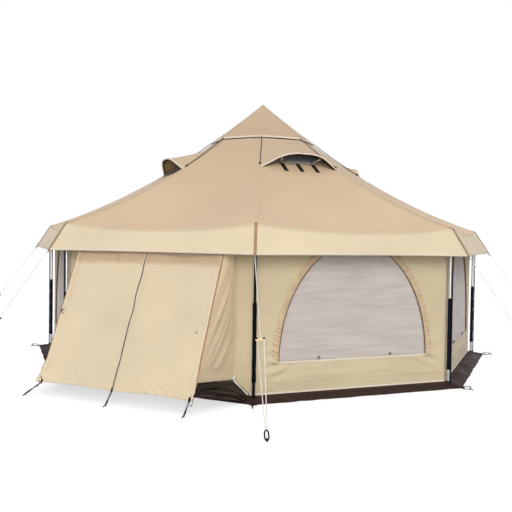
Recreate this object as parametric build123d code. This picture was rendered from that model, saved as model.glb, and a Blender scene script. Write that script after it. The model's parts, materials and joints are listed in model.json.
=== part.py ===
from build123d import *
import math
import os

# Bell tent with an eight-sided plan, pitched on level ground.
# Millimetres, +Z up, origin on the ground under the centre pole.
# One corner points along -Y. Corners and sides are counted anticlockwise from it,
# and side n lies between corner n and corner n + 1.

# Overall shape
sides = 8
apex_height = 2885
roof_peak = 2870
roof_slope = 0.84
roof_curve = 0.105e-3
eave_radius = 2494
hem_radius = 2655
hem_height = 1185
wall_radius = 2440
wall_bottom = 35
wall_top = 1395
skirt_radius = 2620
fabric = 2.5
seam_gap = 0.5

# Poles
centre_pole_radius = 16
side_pole_radius = 14
side_pole_ring = 2478
tube_wall = 1.5
centre_joints = [950, 1880]
centre_pole_top = 2790
side_pole_joint = 720
side_pole_top = 1385
sleeve_radius = 20
sleeve_low = 150
sleeve_high = 800
strap_width = 22

# Peak cap
cap_radius = 590
cap_hem_height = 2436
cord_radius = 2.5
cord_end = 1090

# Windows
window_half = 720
window_height = 990
window_sill = 300
ruffle_width = 65
window_sides = [0, 1, 2, 3, 4, 5, 6]

# Door and vestibule
door_side = 7
sheet_top = (2310, 1395)
sheet_bottom = (2885, 100)
sheet_half = 715
door_hinge_height = 1150
doorway_half = 600
doorway_low = 60
doorway_high = 1270
gusset_seam = 752
zip_gap = 10
eyelet_bore = 5.5
slider_height = 140

# Roof vents
vent_sides = [0, 2, 4, 6]
vent_top = 800
vent_sill = 955
hood_hinge_out = 660
hood_length = 500
hood_droop = 16.2
stay_height = 122
stay_out = 968
stay_foot_side = 175
stay_head_side = 225
vent_strap_width = 40
vent_strap_spacing = 175
vent_strap_low = 1130

# Guy lines and pegs
guy_foot_radius = 3550
front_guy_swing = 7.7
rope_radius = 2.75
strand_gap = 50
runner_width = 72
runner_rise = 12
link_length = 76
link_width = 32
link_wire = 6
runner_share = 0.52
peg_radius = 3.5
peg_length = 230
peg_arm = 26
peg_lean = 18
door_cord_places = [-700, 0, 695]
door_peg_places = [-800, 0, 695]

half_side = 180 / sides
to_flat = math.cos(math.radians(half_side))
cloth_wedge_reach = 4000


# Placing

def side_angle(side):
    """Direction of the middle of a side."""
    return half_side - 90 + side * 360 / sides


def corner_angle(corner):
    return corner * 360 / sides - 90


def on_sides(shape, chosen=range(sides)):
    return [shape.rotate(Axis.Z, side_angle(side)) for side in chosen]


def on_corners(shape):
    return [shape.rotate(Axis.Z, corner_angle(corner)) for corner in range(sides)]


def save(name, *shapes):
    solids = [solid for shape in shapes for solid in shape.solids()]
    whole = solids[0] if len(solids) == 1 else Compound(solids)
    export_step(whole, f"parts/{name}.step")


# Basic forms. Each is drawn with its outward direction along +X.

def outline(points):
    """Face in the upright X-Z plane."""
    return Plane.XZ * make_face(Polyline(*points, close=True))


def side_wedge(gap=seam_gap):
    """Everything that belongs to one side, up to its two corner seams."""
    start = gap / math.sin(math.radians(half_side))
    reach = (cloth_wedge_reach - start) * math.tan(math.radians(half_side))
    plan = make_face(Polyline(
        (start, 0), (cloth_wedge_reach, -reach), (cloth_wedge_reach, reach), close=True))
    return Pos(0, 0, -100) * extrude(plan, amount=3200)


def side_sheet(points, gap=seam_gap):
    """Sheet with the given section, running from corner seam to corner seam."""
    return extrude(outline(points), amount=1300, both=True) & side_wedge(gap)


def slab(points, low, high):
    """Upright section carried sideways from y = low to y = high."""
    return Pos(0, high, 0) * extrude(outline(points), amount=high - low)


def rod(start, end, radius):
    along = Vector(*end) - Vector(*start)
    return extrude(Plane(origin=start, z_dir=along) * Circle(radius), amount=along.length)


def turned_profile(points):
    """Round part about the Z axis."""
    return revolve(outline(points), Axis.Z)


def roof_height(radius):
    """Height of the ridge at a distance from the centre pole."""
    return roof_peak - roof_slope * radius + roof_curve * radius ** 2


def roof_flat_height(out):
    """Height of the roof on the middle line of a side."""
    return roof_height(out / to_flat)


def roof_flat_slope(out):
    return (2 * roof_curve * out / to_flat - roof_slope) / to_flat


def sheet_out(height):
    """How far out the vestibule sheet is at a height."""
    share = (sheet_top[1] - height) / (sheet_top[1] - sheet_bottom[1])
    return sheet_top[0] + share * (sheet_bottom[0] - sheet_top[0])


sheet_run = sheet_bottom[0] - sheet_top[0]
sheet_drop = sheet_top[1] - sheet_bottom[1]
sheet_length = math.hypot(sheet_run, sheet_drop)
sheet_outward = (sheet_drop / sheet_length, sheet_run / sheet_length)


# Poles

def pole_section(low, high, radius, spigot):
    """Steel tube with a narrower end that plugs into the next section."""
    inner = radius - tube_wall
    if not spigot:
        return turned_profile([(inner, low), (radius, low), (radius, high), (inner, high)])
    plug = inner - 0.3
    bore = plug - tube_wall
    return turned_profile([
        (inner, low), (radius, low), (radius, high), (plug, high), (plug, high + spigot),
        (bore, high + spigot), (bore, high - 12), (inner, high - 12)])


def centre_pole():
    low_joint, high_joint = centre_joints
    save("centre_pole_lower", pole_section(8, low_joint, centre_pole_radius, 90))
    save("centre_pole_middle", pole_section(low_joint + 0.3, high_joint, centre_pole_radius, 90))
    save("centre_pole_upper", pole_section(
        high_joint + 0.3, centre_pole_top, centre_pole_radius, 0))
    foot_bore = centre_pole_radius + 0.3
    save("centre_pole_foot", turned_profile([
        (0, 3.3), (34, 3.3), (34, 6), (21, 12), (19, 45), (foot_bore, 45), (foot_bore, 7.7), (0, 7.7)]))
    plug = centre_pole_radius - tube_wall - 0.3
    save("apex_pin", turned_profile([
        (0, centre_pole_top - 40), (plug, centre_pole_top - 40), (plug, centre_pole_top + 0.3),
        (58, centre_pole_top + 0.3), (58, centre_pole_top + 4), (11, centre_pole_top + 9),
        (5, centre_pole_top + 12), (5, roof_peak - 4), (3, roof_peak), (0, roof_peak)]))


def side_poles():
    place = Pos(side_pole_ring, 0, 0)
    lower = pole_section(22.3, side_pole_joint, side_pole_radius, 60)
    upper = pole_section(side_pole_joint + 0.3, side_pole_top, side_pole_radius, 0)
    save("side_poles_lower", *on_corners(place * lower))
    save("side_poles_upper", *on_corners(place * upper))
    bore = side_pole_radius + 0.3
    foot = turned_profile([(0, 0), (17, 0), (17.5, 4), (16.8, 48), (bore, 48), (bore, 22), (0, 22)])
    save("side_pole_feet", *on_corners(place * foot))
    plug = side_pole_radius - tube_wall - 0.3
    tip = turned_profile([
        (0, side_pole_top - 30), (plug, side_pole_top - 30), (plug, side_pole_top + 0.3),
        (side_pole_radius, side_pole_top + 0.3), (side_pole_radius, side_pole_top + 5),
        (4, side_pole_top + 8), (4, side_pole_top + 30), (2.5, side_pole_top + 33),
        (0, side_pole_top + 33)])
    save("side_pole_tips", *on_corners(place * tip))
    bore = side_pole_radius + 0.6
    sleeve = turned_profile([
        (bore, sleeve_low), (sleeve_radius, sleeve_low),
        (sleeve_radius, sleeve_high), (bore, sleeve_high)])
    save("pole_sleeves", *on_corners(place * sleeve))
    strap_in = side_pole_ring + sleeve_radius + 0.8
    strap = slab([(strap_in, 32), (strap_in + 1.6, 32), (strap_in + 1.6, 1375), (strap_in, 1375)],
                 -strap_width / 2, strap_width / 2)
    save("corner_straps", *on_corners(strap))


# Roof

def roof_sheet(inner_out, outer_out):
    """Roof cloth of one side, whose section sags between the two radii."""
    start = (inner_out, roof_flat_height(inner_out))
    end = (outer_out, roof_flat_height(outer_out))
    middle_out = (inner_out + outer_out) / 2
    middle = (middle_out, start[1] + roof_flat_slope(inner_out) * (middle_out - inner_out))
    top = Bezier(start, middle, end)
    bottom = Pos(0, -fabric) * top
    closed = make_face([
        top, bottom, Line(start, (start[0], start[1] - fabric)),
        Line(end, (end[0], end[1] - fabric))])
    return extrude(Plane.XZ * closed, amount=1300, both=True) & side_wedge()


def vent_window(out_low, out_high, margin):
    """Upright block over the mesh window of a vent, narrower than the roof side by a margin."""
    tangent = math.tan(math.radians(half_side))
    low_half = out_low * tangent - margin
    high_half = out_high * tangent - margin
    plan = make_face(Polyline(
        (out_low, -low_half), (out_high, -high_half), (out_high, high_half), (out_low, low_half),
        close=True))
    return Pos(0, 0, 1900) * extrude(plan, amount=500)


def roof():
    panel = roof_sheet(22, eave_radius * to_flat)
    vented = panel - vent_window(vent_top, vent_sill, 60)
    plain_sides = [side for side in range(sides) if side not in vent_sides]
    save("roof_panels", *on_sides(panel, plain_sides), *on_sides(vented, vent_sides))
    mesh = panel & vent_window(vent_top + 1, vent_sill - 1, 61)
    save("vent_meshes", *on_sides(mesh, vent_sides))


def peak_cap():
    """Eight-sided cap over the apex, with a hem that stands clear of the roof."""
    hem_out = cap_radius * to_flat
    shell = extrude(outline([
        (0, apex_height), (hem_out, cap_hem_height), (hem_out, cap_hem_height - 22),
        (hem_out - fabric, cap_hem_height - 22), (hem_out - fabric, cap_hem_height - fabric),
        (0, apex_height - fabric)]), amount=400, both=True) & side_wedge(0.2)
    save("peak_cap", *on_sides(shell))


def cap_cords():
    """Cord down each ridge from a corner of the cap, with a toggle at its end."""
    lift = 8
    start_radius = cap_radius + 6
    start = (start_radius, 0, roof_height(start_radius) + lift + 4)
    end = (cord_end, 0, roof_height(cord_end) + lift)
    save("cap_cords", *on_corners(rod(start, end, cord_radius)))
    slope = (end[2] - start[2]) / (end[0] - start[0])
    far = (cord_end + 36, 0, end[2] + 36 * slope)
    near = (cord_end + 0.5, 0, end[2] + 0.5 * slope)
    save("cap_toggles", *on_corners(rod(near, far, 5)))


def valance():
    top_out = eave_radius * to_flat + 0.8
    top_height = roof_height(eave_radius) - 1
    hem_out = hem_radius * to_flat
    strip = side_sheet([
        (top_out, top_height), (hem_out, hem_height), (hem_out - fabric, hem_height),
        (top_out, top_height - 3.5)])
    save("valance", *on_sides(strip))
    inner_top = (eave_radius + 2, top_height)
    inner_hem = (hem_radius + 4.2, hem_height - 4)
    webbing = slab([
        inner_top, inner_hem, (inner_hem[0] + 1.6, inner_hem[1]), (inner_top[0] + 1.6, inner_top[1])],
        -11, 11)
    save("valance_webbing", *on_corners(webbing))
    ring = Pos(hem_radius + 16, 0, hem_height - 14) * Rot(90, 0, 0) * Torus(12, 2.2)
    save("hem_rings", *on_corners(ring))


# Walls

def window_shape(out, half, height, thick, sill=window_sill):
    """Upright half-ellipse plate standing on a straight sill."""
    wall = Plane(origin=(out, 0, sill), x_dir=(0, 1, 0), z_dir=(1, 0, 0))
    above = Pos(0, height) * Rectangle(4 * half, 2 * height)
    return extrude(wall * (Ellipse(half, height) & above), amount=thick)


def walls():
    wall_out = wall_radius * to_flat
    whole = side_sheet([
        (wall_out - fabric, wall_bottom), (wall_out, wall_bottom),
        (wall_out, wall_top), (wall_out - fabric, wall_top)])
    cut = window_shape(wall_out - 20, window_half, window_height, 40)
    save("side_walls", *on_sides(whole - cut, window_sides))
    lap = 12
    curtain = window_shape(
        wall_out - fabric - 4, window_half + lap, window_height + lap, 1.5, window_sill - lap)
    save("window_curtains", *on_sides(curtain, window_sides))
    outer = window_shape(wall_out + 0.5, window_half + ruffle_width, window_height + ruffle_width, 5)
    ruffle = outer - cut
    save("window_ruffles", *on_sides(ruffle, window_sides))
    toggle = rod((wall_out + 8, 350, window_sill + 8), (wall_out + 8, 350, window_sill + 38), 5)
    other = Pos(0, -700, 0) * toggle
    save("window_toggles", *on_sides(Compound([toggle.solid(), other.solid()]), window_sides))
    doorway = Pos(wall_out, 0, (doorway_low + doorway_high) / 2) * Box(
        60, 2 * doorway_half, doorway_high - doorway_low)
    doorway = fillet(doorway.edges().filter_by(Axis.X).group_by(Axis.Z)[-1], 180)
    save("door_wall", *on_sides(whole - doorway, [door_side]))


def ground_cloth():
    wall_out = wall_radius * to_flat
    skirt_foot = skirt_radius * to_flat
    skirt = side_sheet([
        (wall_out + 0.6, wall_bottom), (skirt_foot, 4), (skirt_foot, 1.5),
        (wall_out + 0.6, wall_bottom - fabric)])
    pole_hole = Cylinder(29, 200)
    for corner_side in (-half_side, half_side):
        skirt = skirt - (Pos(side_pole_ring, 0, 0) * pole_hole).rotate(Axis.Z, corner_side)
    save("mud_skirt", *on_sides(skirt))
    loop = slab([
        (skirt_radius + 6, 3), (skirt_radius + 86, 3), (skirt_radius + 86, 5), (skirt_radius + 6, 5)],
        -10, 10)
    loop = loop - Pos(skirt_radius + 72, 0, 4) * Box(16, 12, 10)
    save("skirt_loops", *on_corners(loop))
    floor_radius = wall_radius - 12
    corners = [
        (floor_radius * math.cos(math.radians(corner_angle(corner))),
         floor_radius * math.sin(math.radians(corner_angle(corner)))) for corner in range(sides)]
    floor = extrude(make_face(Polyline(*corners, close=True)), amount=3)
    save("groundsheet", floor)


# Roof vents

def vents():
    hinge_height = roof_flat_height(hood_hinge_out) + 10
    droop = math.radians(hood_droop)
    reach = hood_length * math.cos(droop)
    drop = hood_length * math.sin(droop)
    plate = slab([
        (hood_hinge_out, hinge_height), (hood_hinge_out + reach, hinge_height - drop),
        (hood_hinge_out + reach, hinge_height - drop - fabric), (hood_hinge_out, hinge_height - fabric)],
        -400, 400)
    hood = plate & vent_window(hood_hinge_out - 5, hood_hinge_out + reach + 5, 35)
    for number, side in enumerate(vent_sides, start=1):
        save(f"vent_hood_{number}", *on_sides(hood, [side]))
    slope = math.atan(-roof_flat_slope(stay_out))
    normal = (math.sin(slope), math.cos(slope))
    foot = roof_flat_height(stay_out)
    base = (stay_out + 5 * normal[0], stay_foot_side, foot + 5 * normal[1])
    top = (stay_out + stay_height * normal[0], stay_head_side, foot + stay_height * normal[1])
    stay = rod(base, top, 3)
    save("vent_stays", *on_sides(stay, vent_sides), *on_sides(stay.mirror(Plane.XZ), vent_sides))
    strap_high = vent_sill + 35
    strap = slab([
        (strap_high, roof_flat_height(strap_high) + 1.5),
        (vent_strap_low, roof_flat_height(vent_strap_low) + 1.5),
        (vent_strap_low, roof_flat_height(vent_strap_low) + 3.5),
        (strap_high, roof_flat_height(strap_high) + 3.5)], -vent_strap_width / 2, vent_strap_width / 2)
    trio = [Pos(0, vent_strap_spacing * step, 0) * strap for step in (-1, 0, 1)]
    save("vent_straps", *[piece for one in trio for piece in on_sides(one, vent_sides)])


# Door and vestibule

def sheet_slab(low_height, high_height, low_side, high_side, thick=fabric, lift=0):
    """Piece of the sloping vestibule sheet between two heights and two sideways places."""
    shift = (lift * sheet_outward[0], lift * sheet_outward[1])
    depth = ((lift - thick) * sheet_outward[0], (lift - thick) * sheet_outward[1])
    low_out = sheet_out(low_height)
    high_out = sheet_out(high_height)
    return slab([
        (low_out + shift[0], low_height + shift[1]), (high_out + shift[0], high_height + shift[1]),
        (high_out + depth[0], high_height + depth[1]), (low_out + depth[0], low_height + depth[1])],
        low_side, high_side)


def sheet_plane(height, sideways, lift=0):
    """Plane lying on the sheet, with its normal outward and its y direction up the slope."""
    origin = (sheet_out(height) + lift * sheet_outward[0], sideways, height + lift * sheet_outward[1])
    return Plane(origin=origin, x_dir=(0, 1, 0), z_dir=(sheet_outward[0], 0, sheet_outward[1]))


def at_door(*shapes):
    return [shape.rotate(Axis.Z, side_angle(door_side)) for shape in shapes]


def mirrored(shape):
    return shape.mirror(Plane.XZ)


def door_flaps():
    header = sheet_slab(door_hinge_height + 6, sheet_top[1], -sheet_half, sheet_half)
    save("door_header", *at_door(header))
    flap_top = door_hinge_height - 4
    flap = sheet_slab(sheet_bottom[1], flap_top, zip_gap, sheet_half)
    eyelet_place = sheet_plane(sheet_bottom[1] + 34, sheet_half - 26, -fabric / 2)
    flap = flap - eyelet_place * Cylinder(8.6, 20)
    eyelet = revolve(Plane.XZ * make_face(Polyline(
        (eyelet_bore, -2.6), (11, -2.6), (11, -1.5), (8.3, -1.5), (8.3, 1.5), (11, 1.5), (11, 2.6),
        (eyelet_bore, 2.6), close=True)), Axis.Z)
    eyelet = eyelet_place * eyelet
    tape = sheet_slab(sheet_bottom[1] + 4, flap_top, 4, zip_gap - 0.4, 1, -0.7)
    coil = sheet_slab(sheet_bottom[1] + 4, flap_top, 1, 4.4, 3.4, 0.5)
    side_tape = sheet_slab(sheet_bottom[1] + 4, flap_top, sheet_half + 0.4, sheet_half + 5, 1, -0.7)
    side_coil = sheet_slab(sheet_bottom[1] + 4, flap_top, sheet_half + 4.6, sheet_half + 9, 3.4, 0.5)
    save("door_flap_right", *at_door(flap))
    save("door_flap_left", *at_door(mirrored(flap)))
    save("door_eyelet_right", *at_door(eyelet))
    save("door_eyelet_left", *at_door(mirrored(eyelet)))
    centre_zip = tape + coil
    side_zip = side_tape + side_coil
    save("zip_tapes_right", *at_door(centre_zip, side_zip))
    save("zip_tapes_left", *at_door(mirrored(centre_zip), mirrored(side_zip)))


def zip_slider(near, far, wall):
    """Slider that wraps one coil from near to far, open on the side of its tape."""
    middle = (near + far) / 2
    width = abs(far - near)
    height = 4.6 + 2 * 2
    body = Box(width, 20, height)
    slot = Pos(math.copysign(wall, near - far), 0, 0) * Box(width, 30, 4.6)
    pull = Pos(0, -22, height / 2 - 0.9) * Box(4, 26, 1.8)
    hole = Pos(0, -30, 0) * Cylinder(1, 30)
    return sheet_plane(slider_height, middle, -1.2) * (body - slot + pull - hole)


def zip_sliders():
    centre = zip_slider(-5, -0.2, 0.6)
    left = zip_slider(-sheet_half - 4.2, -sheet_half - 11, 1.5)
    right = zip_slider(sheet_half + 4.2, sheet_half + 11, 1.5)
    save("centre_zip_slider", *at_door(centre))
    save("side_zip_slider_left", *at_door(left))
    save("side_zip_slider_right", *at_door(right))


def gussets():
    """Side sheets of the vestibule and the dark flaps under them."""
    wall_out = wall_radius * to_flat + 6
    under = 8
    gusset = upright_fold(wall_out, [
        (wall_out, wall_top - 10), (sheet_out(wall_top - 10) - under, wall_top - 10),
        (sheet_out(225) - under, 225), (wall_out, 150)])
    save("door_gusset_right", *at_door(gusset))
    save("door_gusset_left", *at_door(mirrored(gusset)))
    seam_foot = (wall_out, gusset_seam + 4, 143)
    front_top = (sheet_out(217) - under, sheet_half + 6, 217)
    front_low = (sheet_out(128) - under, sheet_half + 8, 128)
    ground = (2400, 905, 18)
    wall_foot = (wall_out, 900, 48)
    depth = Vector(0.3, 0.8, 0.5) * fabric
    upright = triangle_sheet(seam_foot, front_top, front_low, depth)
    sloping = triangle_sheet(seam_foot, front_low, ground, depth)
    inner = triangle_sheet(seam_foot, ground, wall_foot, depth)
    flap = upright + sloping + inner
    save("vestibule_flaps", *at_door(flap, mirrored(flap)))


def triangle_sheet(first, second, third, depth):
    """Flat triangle made solid by moving it along the depth vector."""
    face = make_face(Polyline(first, second, third, close=True))
    return extrude(face, amount=depth.length, dir=depth.normalized())


def upright_fold(wall_out, points):
    """Upright sheet from the seam on the wall to just behind the edge of the door sheet."""
    sheet = Pos(0, gusset_seam + fabric / 2, 0) * extrude(outline(points), amount=fabric)
    lean = math.degrees(math.atan2(gusset_seam - sheet_half - 2, sheet_out(200) - wall_out))
    pivot = Axis((wall_out, gusset_seam, 0), (0, 0, 1))
    return sheet.rotate(pivot, -lean)


# Guy lines and pegs

def at_guys(shape):
    """Copies at every corner. The front guy line is pegged a little to one side."""
    ring_axis = Axis((hem_radius + 16, 0, 0), (0, 0, 1))
    swings = [front_guy_swing] + [0] * (sides - 1)
    return [shape.rotate(ring_axis, swing).rotate(Axis.Z, corner_angle(corner))
            for corner, swing in enumerate(swings)]


def guy_lines():
    ring_middle = Vector(hem_radius + 16, 0, hem_height - 14)
    foot = Vector(guy_foot_radius - 40, 0, 58)
    along = (foot - ring_middle).normalized()
    length = (foot - ring_middle).length
    runner_at = ring_middle + along * (length * runner_share)
    main = rod(ring_middle + along * 15, runner_at - along * (runner_rise / 2 + 0.5), rope_radius)
    strand_top = runner_at - along * (runner_rise / 2 + 3)
    strands = []
    for across in (-1, 1):
        top = strand_top + Vector(0, across * strand_gap / 2, 0)
        end = foot + Vector(0, across * 6, 0) - along * 11
        strands.append(rod(top, end, rope_radius))
    save("guy_lines", *at_guys(main), *at_guys(strands[0]), *at_guys(strands[1]))
    bar = Box(runner_width, 11, runner_rise)
    bar = fillet(bar.edges().filter_by(Axis.Z), 4)
    for across in (-1, 1):
        bar = bar - Pos(across * (strand_gap / 2 - 2.5), 0, 0) * Box(15, 6.6, 30)
    runner = Plane(origin=runner_at, x_dir=(0, 1, 0), z_dir=along) * bar
    for number, placed in enumerate(at_guys(runner), start=1):
        save(f"guy_runner_{number}", placed)
    face = Plane(origin=foot + along * 30, x_dir=along, z_dir=(-along.Z, 0, along.X))
    hole = Ellipse(link_length / 2 - link_wire, link_width / 2 - link_wire)
    link = extrude(
        face * (Ellipse(link_length / 2, link_width / 2) - hole), amount=link_wire / 2, both=True)
    save("guy_rings", *at_guys(link))


def peg(radius, top):
    """Steel peg with a turned-over top, driven in so that its tip points under the tent."""
    shank = rod((0, 0, 0), (0, 0, -peg_length), peg_radius)
    arm = rod((0, 0, 0), (peg_arm, 0, 0), peg_radius)
    lip = rod((peg_arm, 0, 0), (peg_arm, 0, -16), peg_radius)
    bends = Sphere(peg_radius) + Pos(peg_arm, 0, 0) * Sphere(peg_radius)
    return Pos(radius, 0, top) * (Rot(0, peg_lean, 0) * (shank + arm + lip + bends))


def pegs():
    wall_peg = peg(skirt_radius + 76, 14)
    guy_peg = peg(guy_foot_radius - 7.5, 19.5)
    door_peg = peg(sheet_out(0) + 40, 14)
    door_pegs = [Pos(0, across, 0) * door_peg for across in door_peg_places]
    save("pegs", *on_corners(wall_peg), *at_guys(guy_peg), *at_door(*door_pegs))


def door_loops():
    """Stretch cords from the bottom hem of the door to its pegs."""
    hem_out = sheet_bottom[0] + 3
    ground_out = sheet_out(0) + 32
    left, middle, right = [
        rod((hem_out, hem_side, sheet_bottom[1] - 5), (ground_out, peg_side, 12), 2)
        for hem_side, peg_side in zip(door_cord_places, door_peg_places)]
    save("door_loops_left", *at_door(left, middle))
    save("door_loops_right", *at_door(right))


def gusset_ties():
    """Cords from the foot of each gusset seam to the nearest corner pole, with a toggle."""
    wall_out = wall_radius * to_flat
    top = (wall_out + 14, gusset_seam + 6, 150)
    corner_end = (wall_out + 20, gusset_seam + 140, 62)
    toggle = rod((wall_out + 14, gusset_seam + 6, 154), (wall_out + 14, gusset_seam + 22, 178), 6)
    tie = rod(top, corner_end, rope_radius) + toggle
    save("gusset_ties", *at_door(tie, mirrored(tie)))


os.makedirs("parts", exist_ok=True)
centre_pole()
side_poles()
roof()
peak_cap()
cap_cords()
valance()
walls()
ground_cloth()
vents()
door_flaps()
zip_sliders()
gussets()
guy_lines()
pegs()
door_loops()
gusset_ties()
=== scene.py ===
import json
from math import atan, atan2, copysign, cos, exp, floor, hypot, pi, radians, sin, sqrt, tan

import bmesh
import bpy
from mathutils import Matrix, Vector, noise


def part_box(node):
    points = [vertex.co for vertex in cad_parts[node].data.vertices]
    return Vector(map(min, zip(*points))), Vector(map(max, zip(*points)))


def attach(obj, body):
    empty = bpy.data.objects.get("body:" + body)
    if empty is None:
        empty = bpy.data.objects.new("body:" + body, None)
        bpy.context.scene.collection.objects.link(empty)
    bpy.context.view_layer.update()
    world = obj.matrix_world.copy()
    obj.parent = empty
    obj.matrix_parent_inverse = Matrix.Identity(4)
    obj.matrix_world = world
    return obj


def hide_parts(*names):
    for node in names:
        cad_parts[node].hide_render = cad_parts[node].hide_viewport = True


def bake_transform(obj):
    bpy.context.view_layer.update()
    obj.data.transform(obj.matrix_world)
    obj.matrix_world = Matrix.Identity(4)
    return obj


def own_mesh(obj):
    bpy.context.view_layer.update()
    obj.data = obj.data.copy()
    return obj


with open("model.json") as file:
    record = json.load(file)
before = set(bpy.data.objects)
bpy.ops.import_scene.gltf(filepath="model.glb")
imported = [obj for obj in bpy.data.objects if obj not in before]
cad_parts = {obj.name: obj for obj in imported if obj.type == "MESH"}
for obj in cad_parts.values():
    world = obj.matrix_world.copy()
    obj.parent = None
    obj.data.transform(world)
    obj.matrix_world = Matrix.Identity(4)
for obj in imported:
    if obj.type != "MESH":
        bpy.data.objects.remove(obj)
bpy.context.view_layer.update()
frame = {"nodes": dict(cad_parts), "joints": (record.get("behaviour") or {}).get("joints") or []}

# Metres, +Z up, one corner of the tent towards -Y. Side n lies between corners n and n + 1.
SIDES = 8
HALF_TURN = pi / SIDES
FLAT = cos(HALF_TURN)
TANGENT = tan(HALF_TURN)

# Sizes read from the frame
EAVE_RADIUS = -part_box("roof_panels")[0].y
EAVE_OUT = EAVE_RADIUS * FLAT
HEM_RADIUS = -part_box("valance")[0].y
HEM_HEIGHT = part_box("valance")[0].z
WALL_RADIUS = -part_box("side_walls")[0].y
WALL_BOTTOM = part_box("side_walls")[0].z
WALL_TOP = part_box("side_walls")[1].z
WALL_OUT = WALL_RADIUS * FLAT
WALL_HALF = WALL_OUT * TANGENT
CAP_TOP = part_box("peak_cap")[1].z
CAP_RADIUS = -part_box("peak_cap")[0].y
CAP_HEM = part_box("peak_cap")[0].z
SKIRT_RADIUS = -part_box("mud_skirt")[0].y
POLE_RING = (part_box("side_poles_upper")[1].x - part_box("side_poles_upper")[0].x) / 2 - 0.014
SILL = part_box("window_ruffles")[0].z

# Roof profile: peak height, slope and sag of a ridge, and how far the eave dips between corners
ROOF_PEAK = 2.87
ROOF_SLOPE = 0.84
ROOF_CURVE = 0.105
EAVE_DIP = 0.062
DIP_START = 0.8
WALL_TOP_DIP = 0.062

# Openings
VENT_SIDES = (0, 2, 4, 6)
VENT_TOP = 0.80
VENT_SILL = 0.955
VENT_EDGE = 0.84
HOOD_START = 0.60
HOOD_FOLD = 0.66
HOOD_RIM = 1.065
HOOD_RISE = 0.165
STRAP_SPREAD = 0.175
WINDOW_SIDES = (0, 1, 2, 3, 4, 5, 6)
WINDOW_HALF = 0.72
RUFFLE_WIDTH = 0.065
WINDOW_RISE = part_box("window_ruffles")[1].z - SILL - RUFFLE_WIDTH
WINDOW_MIDDLE = SILL + WINDOW_RISE * 0.36
TOGGLE_SPREAD = 0.35

# Door. The sloping sheet's top and bottom are each given as a distance outward and a height.
DOOR_SIDE = 7
SHEET_TOP = (2.310, 1.395)
SHEET_BOTTOM = (2.885, 0.100)
SHEET_HALF = 0.715
TUCK_HEIGHT = 1.20
LEFT_FLARE = 0.05
RIGHT_FLARE = 0.008
HINGE_ABOVE = 0.02
HINGE_BELOW = 0.03
GUSSET_SEAM = 0.752
GUSSET_TOP = 1.352
GUSSET_FOOT = 0.150
GUSSET_FRONT_FOOT = 0.225
DOORWAY_HALF = 0.60
DOORWAY_LOW = 0.06
DOORWAY_HIGH = 1.27
DOORWAY_CORNER = 0.18

# Guy lines: ring at the hem, foot at the peg, sideways swing of the front line
RING_OUT = HEM_RADIUS + 0.016
RING_HEIGHT = HEM_HEIGHT - 0.014
GUY_FOOT = (3.510, 0.058)
FRONT_SWING = radians(7.7)
RUNNER_SHARE = 0.52
ROPE_RADIUS = 0.0034

# Cloth thickness, and the length over which a wave texture of scale 1 repeats
CLOTH = 0.0022
WAVE_LENGTH = 0.314

# Camera: place, heading, tilt, roll and lens in millimetres
CAMERA_DISTANCE = 7.811
CAMERA_HEIGHT = 1.304
CAMERA_AZIMUTH = radians(0.955)
CAMERA_HEADING = CAMERA_AZIMUTH + radians(0.409)
CAMERA_PITCH = radians(-1.397)
CAMERA_ROLL = radians(0.862)
CAMERA_LENS = 46.698

UPWARD = Vector((0, 0, 1))


# Placing

def side_angle(side):
    return HALF_TURN - pi / 2 + side * 2 * HALF_TURN


def corner_angle(corner):
    return corner * 2 * HALF_TURN - pi / 2


def place(out, across, height, angle):
    """Point at distances outward, sideways and up, for a direction seen from above."""
    cosine = cos(angle)
    sine = sin(angle)
    return Vector((out * cosine - across * sine, out * sine + across * cosine, height))


def ring_place(turn, out, height):
    """Point on an eight-sided ring, where turn counts sides and fractions of a side."""
    return place(out, side_share(turn) * out * TANGENT, height, side_angle(floor(turn)))


def sideways(angle):
    return place(0, 1, 0, angle)


def side_share(turn):
    """Place across the side that a turn falls on, from -1 to 1."""
    return 2 * (turn - floor(turn)) - 1


def spread(low, high, count):
    return [low + (high - low) * step / count for step in range(count + 1)]


def smooth(value):
    value = min(1.0, max(0.0, value))
    return value * value * (3 - 2 * value)


def ripple(x, y, seed=0.0):
    """Smooth noise from -1 to 1."""
    return noise.noise(Vector((x, y, seed)))


def roof_height(radius):
    return ROOF_PEAK - ROOF_SLOPE * radius + ROOF_CURVE * radius ** 2


def roof_slope(radius):
    """Angle of the roof at the middle of a side."""
    return atan((ROOF_SLOPE - 2 * ROOF_CURVE * radius) / FLAT)


def dip(share, radius):
    """How far the roof cloth hangs below its ridges, for a share of the half side."""
    return EAVE_DIP * (1 - share * share) * smooth((radius - DIP_START) / (EAVE_RADIUS - DIP_START)) ** 1.4


# Mesh building

def new_object(name, mesh):
    made = bpy.data.objects.new(name, mesh)
    bpy.context.scene.collection.objects.link(made)
    return made


def finish_mesh(name, build):
    bmesh.ops.recalc_face_normals(build, faces=build.faces)
    mesh = bpy.data.meshes.new(name)
    build.to_mesh(mesh)
    build.free()
    return new_object(name, mesh)


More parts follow.
